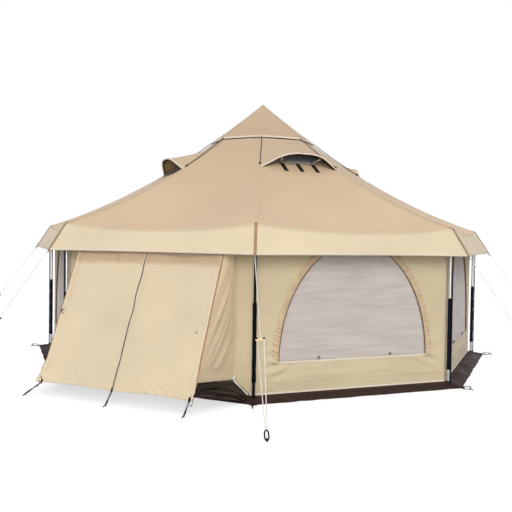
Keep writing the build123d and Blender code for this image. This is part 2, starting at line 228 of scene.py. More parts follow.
def sheet(name, point, first, second, keep=None, closed=False, thick=CLOTH):
    """Cloth over two lists of parameters. point(a, b) gives a place. keep(a, b) says which cells exist."""
    build = bmesh.new()
    grid = [[build.verts.new(point(a, b)) for b in second] for a in first]
    layer = build.loops.layers.uv.new("cloth")
    run = distances([row[len(second) // 2].co for row in grid])
    drop = distances([vertex.co for vertex in grid[len(first) // 2]])
    run.append(run[-1] + run[1])
    for i in range(len(first) if closed else len(first) - 1):
        after = (i + 1) % len(first)
        after_run = run[i + 1]
        next_a = first[min(i + 1, len(first) - 1)]
        for j in range(len(second) - 1):
            if keep and not keep((first[i] + next_a) / 2, (second[j] + second[j + 1]) / 2):
                continue
            corners = [(grid[i][j], run[i], drop[j]), (grid[after][j], after_run, drop[j]),
                       (grid[after][j + 1], after_run, drop[j + 1]), (grid[i][j + 1], run[i], drop[j + 1])]
            face = build.faces.new([corner[0] for corner in corners])
            for loop, corner in zip(face.loops, corners):
                loop[layer].uv = (corner[1], corner[2])
            face.smooth = True
    loose = [vertex for vertex in build.verts if not vertex.link_faces]
    bmesh.ops.delete(build, geom=loose, context="VERTS")
    made = finish_mesh(name, build)
    if thick:
        solid = made.modifiers.new("thickness", "SOLIDIFY")
        solid.thickness = thick
        solid.offset = 0
    return made


def distances(points):
    """Distance along a row of points up to each of them."""
    total = [0.0]
    for before, after in zip(points, points[1:]):
        total.append(total[-1] + (after - before).length)
    return total


def way(points, index):
    """Direction of a path at one of its points."""
    return (points[min(index + 1, len(points) - 1)] - points[max(index - 1, 0)]).normalized()


def join_rings(build, rings, runs, widths, rounded):
    """Skins rings of corners along a path. widths holds the two cloth places of each face round a ring."""
    layer = build.loops.layers.uv["cloth"]
    for low, high, low_run, high_run in zip(rings, rings[1:], runs, runs[1:]):
        for step, (first, second) in enumerate(widths):
            after = (step + 1) % len(widths)
            face = build.faces.new([low[step], low[after], high[after], high[step]])
            face.smooth = rounded
            places = ((first, low_run), (second, low_run), (second, high_run), (first, high_run))
            for loop, value in zip(face.loops, places):
                loop[layer].uv = value
    build.faces.new(rings[0][::-1])
    build.faces.new(rings[-1])


def tube(name, paths, radius, sides=10, swell=None):
    """Round cord along each path of points. swell(share) can change its radius along the way."""
    build = bmesh.new()
    build.loops.layers.uv.new("cloth")
    arc = 2 * pi * radius / sides
    widths = [(step * arc, (step + 1) * arc) for step in range(sides)]
    for path in paths:
        rings = []
        for index, centre in enumerate(path):
            along = way(path, index)
            side = along.cross(Vector((0.31, 0.17, 0.94))).normalized()
            other = along.cross(side)
            size = radius * (swell(index / (len(path) - 1)) if swell else 1)
            rings.append([build.verts.new(centre + (side * cos(turn) + other * sin(turn)) * size)
                          for turn in spread(0, 2 * pi, sides)[:-1]])
        join_rings(build, rings, distances(path), widths, True)
    return finish_mesh(name, build)


def ribbon(name, paths, width, thick=0.0016):
    """Flat webbing. Each path is a list of (centre, width direction) pairs."""
    build = bmesh.new()
    build.loops.layers.uv.new("cloth")
    half = width / 2
    lip = min(thick, half * 0.4)
    profile = [(-half, 0), (-half + lip, thick / 2), (half - lip, thick / 2), (half, 0),
               (half - lip, -thick / 2), (-half + lip, -thick / 2)]
    widths = [(0, width if step in (1, 4) else thick) for step in range(len(profile))]
    for path in paths:
        rings = []
        centres = [centre for centre, across in path]
        for index, (centre, across) in enumerate(path):
            along = way(centres, index)
            across = (across - along * across.dot(along)).normalized()
            up = along.cross(across)
            rings.append([build.verts.new(centre + across * x + up * y) for x, y in profile])
        join_rings(build, rings, distances(centres), widths, False)
    return finish_mesh(name, build)


def dress(piece, material, body="root", cad=None):
    """Gives a piece its material and its body, and hides the CAD node that it stands for."""
    piece.data.materials.clear()
    piece.data.materials.append(material)
    if body:
        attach(piece, body)
    if cad:
        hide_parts(cad)
    return piece


# Materials

def linear(colour):
    return tuple(((c + 0.055) / 1.055) ** 2.4 if c > 0.04045 else c / 12.92 for c in colour) + (1.0,)


def colour_sockets(sockets):
    return [socket for socket in sockets if socket.type == "RGBA"]


class Shader:
    """A material with a few helpers for adding nodes."""

    def __init__(self, name):
        self.material = bpy.data.materials.new(name)
        self.material.use_nodes = True
        self.tree = self.material.node_tree
        self.surface = self.tree.nodes["Principled BSDF"]
        self.output = self.tree.nodes["Material Output"]
        self.cloth = self.node("ShaderNodeUVMap")
        self.cloth.uv_map = "cloth"
        self.object = self.node("ShaderNodeTexCoord")

    def node(self, kind, values=None, links=None, **settings):
        made = self.tree.nodes.new(kind)
        for key, value in settings.items():
            setattr(made, key, value)
        for key, value in (values or {}).items():
            made.inputs[key].default_value = value
        for key, socket in (links or {}).items():
            self.tree.links.new(socket, made.inputs[key])
        return made

    def set(self, key, value):
        self.surface.inputs[key].default_value = value

    def link(self, socket, key):
        self.tree.links.new(socket, self.surface.inputs[key])

    def noise(self, scale, detail, stretch=(1, 1, 1), on_cloth=False, rough=0.55):
        source = self.cloth.outputs["UV"] if on_cloth else self.object.outputs["Object"]
        mapped = self.node("ShaderNodeMapping", {"Scale": stretch}, {"Vector": source})
        return self.node("ShaderNodeTexNoise", {"Scale": scale, "Detail": detail, "Roughness": rough},
                         {"Vector": mapped.outputs["Vector"]}).outputs["Fac"]

    def wave(self, scale, direction):
        return self.node("ShaderNodeTexWave", {"Scale": scale, "Distortion": 0.6, "Detail": 1.0},
                         {"Vector": self.cloth.outputs["UV"]}, wave_type="BANDS",
                         bands_direction=direction).outputs["Fac"]

    def maths(self, operation, first, second):
        made = self.node("ShaderNodeMath", operation=operation)
        for index, value in enumerate((first, second)):
            if isinstance(value, (int, float)):
                made.inputs[index].default_value = value
            else:
                self.tree.links.new(value, made.inputs[index])
        return made.outputs[0]

    def blend(self, share, low, high):
        """Mixes two colours, each a red-green-blue triple or another node's output."""
        made = self.node("ShaderNodeMix", data_type="RGBA")
        self.tree.links.new(share, made.inputs["Factor"])
        for socket, value in zip(colour_sockets(made.inputs), (low, high)):
            if isinstance(value, tuple):
                socket.default_value = linear(value)
            else:
                self.tree.links.new(value, socket)
        return colour_sockets(made.outputs)[0]

    def times(self, first, second):
        return self.maths("MULTIPLY", first, second)

    def finish(self, base, rough, **others):
        """Sets the base colour, the roughness and other inputs, such as Sheen_Weight."""
        self.link(base, "Base Color")
        self.set("Roughness", rough)
        for key, value in others.items():
            self.set(key.replace("_", " "), value)

    def ramp(self, value, low, high):
        made = self.node("ShaderNodeMapRange", {"From Min": low, "From Max": high}, {"Value": value})
        return made.outputs["Result"]

    def bump(self, height, depth, strength=1.0, after=None):
        links = {"Height": height}
        if after:
            links["Normal"] = after
        made = self.node("ShaderNodeBump", {"Distance": depth, "Strength": strength}, links)
        return made.outputs["Normal"]


def tint(colour, factor):
    return tuple(min(1.0, part * factor) for part in colour)


def canvas(name, colour, through=0.12, folds=0.004, fold_scale=4.0, thread=0.0022, sheen=0.25, crease_shade=0.0,
           glow=(1.0, 1.0, 1.0), valance_shade_depth=None, upper=None):
    """Woven cotton canvas: uneven dye, slubs, a plain weave and soft creases.

    The last two arguments paint shade: the first is a depth below the cloth's top edge that keeps a deeper,
    pinker colour as painted shadow of the valance, and the second is a pair of heights between which the
    colour deepens as painted shade."""
    paint = Shader(name)
    patches = paint.ramp(paint.noise(1.3, 3), 0.3, 0.7)
    base = paint.blend(patches, tint(colour, 0.965), tint(colour, 1.02))
    slubs = paint.ramp(paint.noise(60, 2, (1, 14, 1), True), 0.55, 0.8)
    base = paint.blend(paint.times(slubs, 0.35), base, tint(colour, 0.93))
    scale = WAVE_LENGTH / thread
    weave = paint.times(paint.wave(scale, "X"), paint.wave(scale, "Y"))
    base = paint.blend(paint.times(weave, 0.25), base, tint(colour, 0.94))
    # Painted shadow: a deeper, pinker band from the top edge down to the given depth stands for the
    # valance's shadow.
    if valance_shade_depth:
        depth = paint.node("ShaderNodeSeparateXYZ", links={"Vector": paint.cloth.outputs["UV"]}).outputs["Y"]
        edge = paint.maths("ADD", depth, paint.times(paint.noise(2.5, 2, (1, 1, 1), True), 0.05))
        share = paint.ramp(edge, valance_shade_depth + 0.045, valance_shade_depth + 0.005)
        base = paint.blend(share, base, (colour[0] * 0.90, colour[1] * 0.84, colour[2] * 0.82))
    # Painted shade: the colour deepens between two heights, darkest towards the top.
    if upper:
        spot = paint.object.outputs["Object"]
        height = paint.node("ShaderNodeSeparateXYZ", links={"Vector": spot}).outputs["Z"]
        base = paint.blend(paint.ramp(height, upper[0], upper[1]), base, tint(colour, 0.905))
    # Painted shade: darker colour in concave creases and hollows, found from the mesh's pointiness.
    if crease_shade:
        bend = paint.node("ShaderNodeNewGeometry").outputs["Pointiness"]
        crease_shade_mask = paint.ramp(bend, 0.50, 0.42)
        base = paint.blend(paint.times(crease_shade_mask, crease_shade), base, tint(colour, 0.62))
    paint.finish(base, 0.92, Sheen_Weight=sheen, Sheen_Roughness=0.6, Specular_IOR_Level=0.2)
    creases = paint.bump(paint.noise(fold_scale, 4, (1, 1.6, 1), True, 0.5), folds)
    paint.link(paint.bump(weave, 0.0006, 0.5, creases), "Normal")
    if through:
        warm = paint.node("ShaderNodeMix", {"Factor": 1.0}, data_type="RGBA", blend_type="MULTIPLY")
        own, warmth = colour_sockets(warm.inputs)
        paint.tree.links.new(base, own)
        warmth.default_value = glow + (1.0,)
        passed = colour_sockets(warm.outputs)[0]
        behind = paint.node("ShaderNodeBsdfTranslucent", links={"Color": passed})
        mix = paint.node("ShaderNodeMixShader", {"Fac": through})
        paint.tree.links.new(paint.surface.outputs[0], mix.inputs[1])
        paint.tree.links.new(behind.outputs[0], mix.inputs[2])
        paint.tree.links.new(mix.outputs[0], paint.output.inputs["Surface"])
    return paint.material


def webbing(name, colour, rib=0.0028):
    """Ribbed woven strap."""
    paint = Shader(name)
    ribs = paint.wave(WAVE_LENGTH / rib, "Y")
    edge = paint.wave(WAVE_LENGTH / (rib * 1.6), "X")
    base = paint.blend(paint.times(ribs, 0.7), colour, tint(colour, 0.72))
    worn = paint.ramp(paint.noise(22, 3), 0.5, 0.75)
    base = paint.blend(paint.times(worn, 0.3), base, tint(colour, 1.25))
    paint.finish(base, 0.8, Specular_IOR_Level=0.1)
    height = paint.maths("ADD", ribs, edge)
    paint.link(paint.bump(height, 0.0006, 0.8), "Normal")
    return paint.material


def coated(name, colour, rough=0.5, highlight_streaks=False):
    """Coated waterproof cloth with scuffs and dusty patches. The flap's kind has pale streaks along its
    folds: painted highlights of its glossy coating.
    """
    paint = Shader(name)
    if highlight_streaks:
        # Painted highlight: pale streaks along the folds stand for light on the glossy coating.
        dust_and_highlights = paint.ramp(paint.noise(30, 3, (0.08, 1, 1), True), 0.50, 0.74)
        base = paint.blend(dust_and_highlights, colour, (0.40, 0.31, 0.30))
    else:
        dust_and_highlights = paint.ramp(paint.noise(9, 5), 0.42, 0.72)
        base = paint.blend(paint.times(dust_and_highlights, 0.45), colour,
                           (colour[0] * 0.8 + 0.10, colour[1] * 0.8 + 0.08, colour[2] * 0.8 + 0.075))
    paint.link(base, "Base Color")
    paint.link(paint.maths("ADD", paint.times(dust_and_highlights, 0.25), rough), "Roughness")
    paint.set("Specular IOR Level", 0.22)
    grain = paint.times(paint.wave(110, "X"), paint.wave(110, "Y"))
    folds = paint.bump(paint.noise(12, 4, (1, 2, 1), True), 0.006, 0.9)
    paint.link(paint.bump(grain, 0.0004, 0.4, folds), "Normal")
    return paint.material


def netting(name, colour):
    """Fine insect mesh: threads with see-through gaps."""
    paint = Shader(name)
    pitch = WAVE_LENGTH / 0.0018
    threads = paint.maths("MAXIMUM", paint.wave(pitch, "X"), paint.wave(pitch, "Y"))
    base = paint.blend(threads, tint(colour, 0.8), colour)
    paint.finish(base, 0.7)
    paint.link(paint.maths("MAXIMUM", paint.ramp(threads, 0.35, 0.6), 0.90), "Alpha")
    paint.link(paint.bump(threads, 0.0005, 0.6), "Normal")
    return paint.material


def curtain_cloth(name, colour):
    """Thin curtain with soft level creases."""
    paint = Shader(name)
    shade = paint.ramp(paint.noise(3.0, 4, (1, 7, 1), True), 0.35, 0.7)
    base = paint.blend(shade, tint(colour, 0.95), tint(colour, 1.03))
    paint.finish(base, 0.8, Sheen_Weight=0.3)
    folds = paint.bump(paint.noise(3.4, 5, (1, 7, 1), True, 0.6), 0.010, 1.0)
    mesh = paint.times(paint.wave(150, "X"), paint.wave(150, "Y"))
    paint.link(paint.bump(mesh, 0.0004, 0.4, folds), "Normal")
    return paint.material


def steel(name, colour, rough=0.3, brushed=(1, 1, 0.02)):
    """Plated steel with drawing lines along the tube, a few dull spots and fine scratches."""
    paint = Shader(name)
    lines = paint.noise(260, 3, brushed)
    spots = paint.ramp(paint.noise(40, 4), 0.5, 0.8)
    base = paint.blend(paint.times(spots, 0.5), colour, tint(colour, 0.78))
    paint.link(base, "Base Color")
    paint.set("Metallic", 1.0)
    rubbed = paint.maths("ADD", paint.times(lines, 0.12), rough)
    paint.link(paint.maths("ADD", rubbed, paint.times(spots, 0.15)), "Roughness")
    paint.link(paint.bump(lines, 0.0003, 0.3), "Normal")
    return paint.material


def plastic(name, colour, rough=0.45):
    """Moulded plastic with a fine grain and rubbed edges."""
    paint = Shader(name)
    edge = paint.node("ShaderNodeNewGeometry").outputs["Pointiness"]
    worn = paint.ramp(edge, 0.52, 0.6)
    base = paint.blend(paint.times(worn, 0.4), colour,
                       tuple(part * 0.7 + 0.25 for part in colour))
    paint.finish(base, rough)
    paint.link(paint.bump(paint.noise(700, 2), 0.0002, 0.4), "Normal")
    return paint.material


def cord(name, colour, pitch=0.004):
    """Braided cord with crossing strands."""
    paint = Shader(name)
    first = paint.node("ShaderNodeTexWave", {"Scale": WAVE_LENGTH / pitch, "Distortion": 0.3},
                       {"Vector": paint.cloth.outputs["UV"]}, bands_direction="DIAGONAL").outputs["Fac"]
    base = paint.blend(paint.times(first, 0.5), colour, tint(colour, 0.7))
    paint.finish(base, 0.8, Sheen_Weight=0.2)
    paint.link(paint.bump(first, 0.0008, 0.7), "Normal")
    return paint.material


SAND = (0.872, 0.768, 0.615)
PALE = (0.912, 0.852, 0.715)
WALL = (0.850, 0.790, 0.648)
DOOR = (0.888, 0.822, 0.690)
TRIM = (0.925, 0.880, 0.800)
# Depths below the top edges of the door and its storm flaps that get the painted shadow of the valance
DOOR_SHADE_DEPTH = 0.325
FLAP_SHADE_DEPTH = 0.158

# Roof canvas painted darker towards the top, between 1.5 m and 2.4 m, as painted shade.
roof_cloth = canvas("roof_canvas", SAND, folds=0.006, fold_scale=2.2, upper=(1.5, 2.4))
# Cap canvas darker than the roof canvas: painted shade on the steep top of the tent.
cap_cloth = canvas("cap_canvas", (0.785, 0.680, 0.548), folds=0.004, fold_scale=4.0)
valance_cloth = canvas("valance_canvas", PALE, through=0.16, folds=0.004, fold_scale=3.0,
                       glow=(1.0, 0.85, 0.75))
wall_cloth = canvas("wall_canvas", WALL, folds=0.013, fold_scale=4.2)
door_cloth = canvas("door_canvas", DOOR, folds=0.006, fold_scale=3.0, valance_shade_depth=DOOR_SHADE_DEPTH)
flap_cloth = canvas("storm_flap_canvas", DOOR, folds=0.004, fold_scale=5.0, valance_shade_depth=FLAP_SHADE_DEPTH)
hem_cloth = canvas("door_hem_canvas", DOOR, folds=0.003, fold_scale=8.0)
gusset_cloth = canvas("gusset_canvas", (0.925, 0.835, 0.675), folds=0.010, fold_scale=6.0, crease_shade=0.5)
trim_cloth = canvas("trim_canvas", TRIM, folds=0.001, fold_scale=20.0)
ruffle_cloth = canvas("ruffle_canvas", (0.84, 0.745, 0.600), folds=0.003, fold_scale=14.0, crease_shade=0.95)
curtain = curtain_cloth("curtain_cloth", (0.770, 0.735, 0.700))
mud_cloth = coated("mud_cloth", (0.190, 0.120, 0.105), 0.55)
flap_mud_cloth = coated("flap_mud_cloth", (0.045, 0.034, 0.036), 0.30, highlight_streaks=True)
floor_cloth = coated("floor_cloth", (0.17, 0.16, 0.17))
net = netting("vent_mesh", (0.68, 0.78, 0.88))
sleeve_cloth = canvas("sleeve_cloth", (0.035, 0.045, 0.115), through=0, folds=0.006, fold_scale=16.0,
                      sheen=0.02)
black_web = webbing("black_webbing", (0.030, 0.030, 0.060))
tan_web = webbing("tan_webbing", (0.70, 0.58, 0.44))
pole_steel = steel("pole_steel", (0.86, 0.87, 0.88))
plated = steel("bright_steel", (0.80, 0.81, 0.82), 0.35, (1, 1, 1))
dark_steel = steel("dark_steel", (0.10, 0.10, 0.12), 0.4, (1, 1, 1))
brass = steel("eyelet_brass", (0.78, 0.64, 0.38), 0.32, (1, 1, 1))
black_plastic = plastic("pole_plastic", (0.06, 0.06, 0.065))
pale_plastic = plastic("pale_plastic", (0.90, 0.88, 0.83))
taupe_plastic = plastic("taupe_plastic", (0.50, 0.45, 0.43), 0.55)
dark_plastic = plastic("dark_plastic", (0.12, 0.085, 0.06), 0.4)
slider_metal = steel("slider_metal", (0.16, 0.15, 0.15), 0.4, (1, 1, 1))
runner_plastic = plastic("runner_plastic", (0.88, 0.80, 0.62), 0.5)
white_rope = cord("white_rope", (0.95, 0.93, 0.89))
dark_cord = cord("dark_cord", (0.20, 0.145, 0.11), 0.003)
grey_cord = cord("grey_cord", (0.30, 0.30, 0.32), 0.003)
zip_brown = webbing("zip_tape", (0.46, 0.27, 0.14), 0.0030)
zip_tan = webbing("side_zip_tape", (0.72, 0.57, 0.40), 0.0030)


# Roof

def chain(places, counts):
    """Evenly stepped values from each place to the next, with every place hit."""
    values = []
    for low, high, count in zip(places, places[1:], counts):
        values += spread(low, high, count)[:-1]
    return values + [places[-1]]


def all_turns(steps):
    """Turns round the whole tent, for places across one side from -1 up to, but not with, 1."""
    return [side + (share + 1) / 2 for side in range(SIDES) for share in steps[:-1]]


def roof_point(turn, radius):
    share = side_share(turn)
    height = roof_height(radius) - dip(share, radius)
    spot = ring_place(turn, radius * FLAT, height)
    slack = (1 - share * share) * smooth(radius - 0.6)
    broad = 0.010 * ripple(spot.x * 1.3, spot.y * 1.3)
    spot.z += slack * (broad + 0.004 * ripple(spot.x * 4, spot.y * 4, 3))
    pull = smooth((radius - 1.5) / 0.9) * abs(share) ** 3 * (1 - abs(share))
    spot.z += 0.020 * pull * sin(22 * radius + 9 * share)
    return spot


def in_vent(turn, radius):
    side_has_vent = floor(turn) in VENT_SIDES
    return side_has_vent and abs(side_share(turn)) < VENT_EDGE and VENT_TOP < radius * FLAT < VENT_SILL


def roof():
    radii = chain((0.024, VENT_TOP / FLAT, VENT_SILL / FLAT, EAVE_RADIUS), (14, 5, 30))
    turns = all_turns(chain((-1, -VENT_EDGE, VENT_EDGE, 1), (4, 28, 4)))
    piece = sheet("roof_cloth", roof_point, turns, radii,
                  keep=lambda turn, radius: not in_vent(turn, radius), closed=True)
    dress(piece, roof_cloth, cad="roof_panels")
    seams = []
    for corner in range(SIDES):
        angle = corner_angle(corner)
        seams.append([(place(radius, 0, roof_height(radius) + CLOTH, angle), sideways(angle))
                      for radius in spread(0.55, EAVE_RADIUS, 40)])
    dress(ribbon("ridge_seams", seams, 0.018, 0.0022), roof_cloth)


def peak_cap():
    def point(turn, step):
        share = side_share(turn)
        drop = 0.024
        if step <= 1:
            radius = CAP_RADIUS * step
            height = CAP_TOP - (CAP_TOP - CAP_HEM - drop) * step
            height += 0.004 * (1 - share * share) * step ** 3 - 0.010 * sin(pi * step)
        else:
            radius = CAP_RADIUS + 0.002
            height = CAP_HEM + drop * (2 - step) + 0.004 * (1 - share * share)
        spot = ring_place(turn, max(radius, 0.004) * FLAT, height)
        spot.z += 0.003 * ripple(spot.x * 9, spot.y * 9, 5) * step
        return spot
    turns = spread(0, SIDES, 96)[:-1]
    piece = sheet("peak_cap_cloth", point, turns, spread(0, 1, 22) + [1.5, 2], closed=True)
    dress(piece, cap_cloth, cad="peak_cap")
    # A pale binding round the cap's hem, and below it a dark ribbon that is a painted shadow under the
    # lifted hem.
    for name, low, width, material in (("peak_cap_binding", 0.014, 0.018, trim_cloth),
                                       ("peak_cap_edging", -0.001, 0.012, dark_cord)):
        path = []
        for turn in spread(0, SIDES, 160):
            share = side_share(turn)
            height = CAP_HEM + low + 0.004 * (1 - share * share)
            path.append((ring_place(turn % SIDES, (CAP_RADIUS + 0.004) * FLAT, height), UPWARD))
        dress(ribbon(name, [path], width, 0.004), material)


def cap_cords():
    lines = []
    ends = []
    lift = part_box("cap_toggles")[0].z - roof_height(-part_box("cap_toggles")[0].y)
    end_radius = -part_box("cap_cords")[0].y
    for corner in range(SIDES):
        angle = corner_angle(corner)
        path = []
        for share in spread(0, 1, 18):
            radius = CAP_RADIUS + 0.004 + (end_radius - CAP_RADIUS) * share
            sway = 0.002 * sin(5 * share + corner)
            rise = 0.012 + (0.010 - 0.012) * share
            path.append(place(radius, sway, roof_height(radius) + rise + 0.012 * (1 - share), angle))
        lines.append(path)
        tip = path[-1]
        along = (path[-1] - path[-2]).normalized()
        ends.append([tip - along * 0.004, tip + along * 0.014, tip + along * 0.036])
    dress(tube("cap_cord_lines", lines, 0.0042), dark_cord, cad="cap_cords")
    toggles = tube("cap_cord_toggles", ends, 0.010, 12, lambda share: 0.7 + 0.6 * sin(pi * share))
    dress(toggles, black_plastic, cad="cap_toggles")


# Valance

def eave_point(turn):
    share = side_share(turn)
    return ring_place(turn, EAVE_OUT, roof_height(EAVE_RADIUS) - dip(share, EAVE_RADIUS))


def valance_point(turn, step):
    share = side_share(turn)
    top = eave_point(turn)
    hem = ring_place(turn, HEM_RADIUS * FLAT, HEM_HEIGHT + 0.006 * (1 - share * share))
    spot = top.lerp(hem, step)
    outward = Vector((spot.x, spot.y, 0)).normalized()
    wave = ripple(share * 5 + floor(turn) * 7, step * 1.5, 2) + 0.5 * ripple(share * 13, step * 3, 8)
    slack = 1 - abs(share) ** 6
    spot += outward * (0.007 * wave * slack * step + 0.010 * sin(pi * step) * slack)
    return spot


def valance():
    turns = all_turns(spread(-1, 1, 44))
    piece = sheet("valance_cloth", valance_point, turns, spread(0, 1, 12), closed=True)
    dress(piece, valance_cloth, cad="valance")
    hem = []
    fold = []
    for turn in turns + [turns[0]]:
        hem.append((valance_point(turn, 0.975), UPWARD))
        fold.append(eave_point(turn) + Vector((0, 0, 0.001)))
    dress(ribbon("valance_binding", [hem], 0.016, 0.0045), trim_cloth)
    dress(tube("eave_fold", [fold], 0.0025, 8), valance_cloth)


def valance_fittings():
    """Webbing down each corner and the stitched loop that holds its ring."""
    strips = []
    loops = []
    for corner in range(SIDES):
        angle = corner_angle(corner)
        across = sideways(angle)
        top_radius = EAVE_RADIUS - 0.03
        path = [(place(top_radius, 0, roof_height(top_radius) + 0.006, angle), across)]
        for share in spread(0, 1, 10):
            radius = EAVE_RADIUS + 0.003 + (HEM_RADIUS + 0.0025 - EAVE_RADIUS) * share
            height = roof_height(EAVE_RADIUS) + (HEM_HEIGHT - roof_height(EAVE_RADIUS)) * share
            path.append((place(radius, 0, height + 0.002, angle), across))
        strips.append(path)
        loop = [(place(HEM_RADIUS + 0.004, 0, HEM_HEIGHT + 0.004, angle), across)]
        for turn in spread(0.75 * pi, -0.45 * pi, 10):
            out = RING_OUT - 0.012 + 0.0045 * cos(turn)
            loop.append((place(out, 0, RING_HEIGHT + 0.0055 * sin(turn), angle), across))
        loop.append((place(HEM_RADIUS - 0.004, 0, HEM_HEIGHT + 0.006, angle), across))
        loops.append(loop)
    dress(ribbon("valance_corner_webbing", strips, 0.024, 0.0020), tan_web,
          cad="valance_webbing")
    dress(ribbon("ring_loops", loops, 0.014, 0.0016), tan_web)


# Walls and windows

def wall_top(share):
    return WALL_TOP - WALL_TOP_DIP * (1 - share * share)


def window_edge(direction):
    """Distance from the window's centre to its edge in a direction, on a flat side."""
    x = cos(direction)
    z = sin(direction)
    sill = SILL - WINDOW_MIDDLE
    a = (x / WINDOW_HALF) ** 2 + (z / WINDOW_RISE) ** 2
    b = -2 * z * sill / WINDOW_RISE ** 2
    c = (sill / WINDOW_RISE) ** 2 - 1
    reach = (-b + sqrt(b * b - 4 * a * c)) / (2 * a)
    if z < 0 and reach * z < sill:
        reach = sill / z
    return reach


def wall_directions():
    """Directions round a window that meet its corners and the wall's corners."""
    special = []
    for x in (-WALL_HALF, WALL_HALF):
        special.append(atan2(WALL_BOTTOM - WINDOW_MIDDLE, x))
        special.append(atan2(WALL_TOP - WINDOW_MIDDLE, x))
    for x in (-WINDOW_HALF, WINDOW_HALF):
        special.append(atan2(SILL - WINDOW_MIDDLE, x))
    return sorted(spread(-pi, pi, 300)[:-1] + special)


def wall_slack(side, across, height, from_edge):
    """How far the wall cloth stands off its flat side, with creases that fan out from the window's edge."""
    edge = 1 - (across / WALL_HALF) ** 6
    free = edge * smooth((height - WALL_BOTTOM) / 0.10) * smooth(from_edge / 0.12)
    belly = 0.007 * ripple(across * 2.2 + side * 5, height * 2.2)
    level = 0.010 * ripple(across * 2.5, height * 20, side + 4.0) * smooth((height - 0.10) / 0.1)
    around = atan2(height - SILL - 0.35, across)
    fan = exp(-from_edge / 0.07) * smooth(from_edge / 0.015)
    creases = 0.010 * fan * ripple(around * 26, from_edge * 6, side + 2.0)
    corner = exp(-((abs(across) - WINDOW_HALF - 0.03) ** 2 + (height - SILL) ** 2) / 0.012)
    pull = 0.018 * corner * sin(60 * (height - SILL) + 25 * abs(across)) * smooth(from_edge / 0.02)
    return (belly + level) * free + creases + pull * edge


def wall_with_window(side):
    half = WALL_HALF - 0.001

    def point(direction, step):
        x = cos(direction)
        z = sin(direction)
        inner = window_edge(direction)
        reach_side = half / abs(x) if abs(x) > 1e-6 else 9
        outer = reach_side
        if z < 0:
            outer = min(reach_side, (WALL_BOTTOM - WINDOW_MIDDLE) / z)
        elif z > 0:
            outer = min(reach_side, (WALL_TOP - WINDOW_MIDDLE) / z)
        reach = inner + (outer - inner) * step
        across = reach * x
        height = WINDOW_MIDDLE + reach * z
        if z > 0 and outer < reach_side:
            height -= (WALL_TOP - wall_top(outer * x / half)) * step
        out = WALL_OUT - 0.001 + wall_slack(side, across, height, reach - inner)
        return place(out, across, height, side_angle(side))

    steps = [share ** 1.4 for share in spread(0, 1, 26)]
    return sheet(f"wall_cloth_{side}", point, wall_directions(), steps, closed=True)


def curtain_point(side, across_share, rise_share):
    height = SILL - 0.012 + (WINDOW_RISE + 0.012) * rise_share
    rise = max(0.0, height - SILL) / (WINDOW_RISE + 0.004)
    half = (WINDOW_HALF + 0.010) * sqrt(max(0.0004, 1 - min(1, rise) ** 2))
    across = half * across_share
    pinned = (1 - across_share ** 4)
    level = ripple(across * 1.1 + side * 3, height * 9 + 0.9 * ripple(across * 2, height, 4), side * 2.0)
    fine = ripple(across * 3, height * 26, side + 9.0)
    sag = 0.009 * level + 0.0035 * fine
    return place(WALL_OUT - 0.010 + sag * pinned, across, height, side_angle(side))


def window_curtain(side):
    rises = [sin(angle) for angle in spread(0, pi / 2, 76)]
    return sheet(f"curtain_{side}", lambda a, b: curtain_point(side, a, b),
                 spread(-1, 1, 44), rises, thick=0.0012)


def arch_place(side, turn, grow, lift):
    """Point on the window's arch, where turn runs from 0 at its right foot to pi at its left."""
    x = cos(turn)
    z = sin(turn)
    normal = Vector((x / WINDOW_HALF, z / WINDOW_RISE)).normalized()
    across = WINDOW_HALF * x + normal.x * grow
    height = SILL + WINDOW_RISE * z + normal.y * grow
    return place(WALL_OUT + lift, across, height, side_angle(side))


def window_ruffle(side):
    """Gathered band of canvas round the arch."""
    def point(turn, step):
        gathers = sin(turn * 170 + 9 * ripple(turn * 9, side * 3.1) + 2.0 * step)
        loose = ripple(turn * 24, step * 1.5, side + 5.0)
        puff = sin(pi * step) ** 0.6
        lift = 0.001 + puff * (0.009 + 0.0070 * gathers * (0.55 + 0.45 * loose) + 0.005 * loose)
        grow = -0.002 + (RUFFLE_WIDTH - 0.008) * step + 0.003 * gathers * step + 0.004 * loose * step
        return arch_place(side, turn, grow, lift)
    return sheet(f"window_ruffle_{side}", point, spread(-0.015, pi + 0.015, 900),
                 [0, 0.1, 0.25, 0.42, 0.6, 0.78, 0.92, 1], thick=0.0012)


def windows():
    for side in WINDOW_SIDES:
        dress(wall_with_window(side), wall_cloth)
        dress(window_curtain(side), curtain)
        dress(window_ruffle(side), ruffle_cloth)
        zip_path = [arch_place(side, turn, -0.004, 0.004) for turn in spread(0, pi, 90)]
        dress(tube(f"window_zip_{side}", [zip_path], 0.0020, 8), zip_brown)
        sill_path = []
        for across in spread(-WINDOW_HALF, WINDOW_HALF, 30):
            sill_path.append((place(WALL_OUT + 0.002, across, SILL - 0.006, side_angle(side)), UPWARD))
        dress(ribbon(f"window_sill_{side}", [sill_path], 0.016, 0.003), trim_cloth)
    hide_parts("side_walls")
    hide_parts("window_curtains")
    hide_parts("window_ruffles")
    toggles = []
    for side in WINDOW_SIDES:
        for across in (-TOGGLE_SPREAD, TOGGLE_SPREAD):
            rise = SILL + 0.02
            toggles.append([place(WALL_OUT + 0.004, across + move, rise + up, side_angle(side))
                            for move, up in ((-0.003, -0.010), (0, 0.003), (0.002, 0.016))])
    piece = tube("curtain_toggles", toggles, 0.012, 12, lambda share: 0.6 + 0.5 * sin(pi * share))
    dress(piece, taupe_plastic, cad="window_toggles")


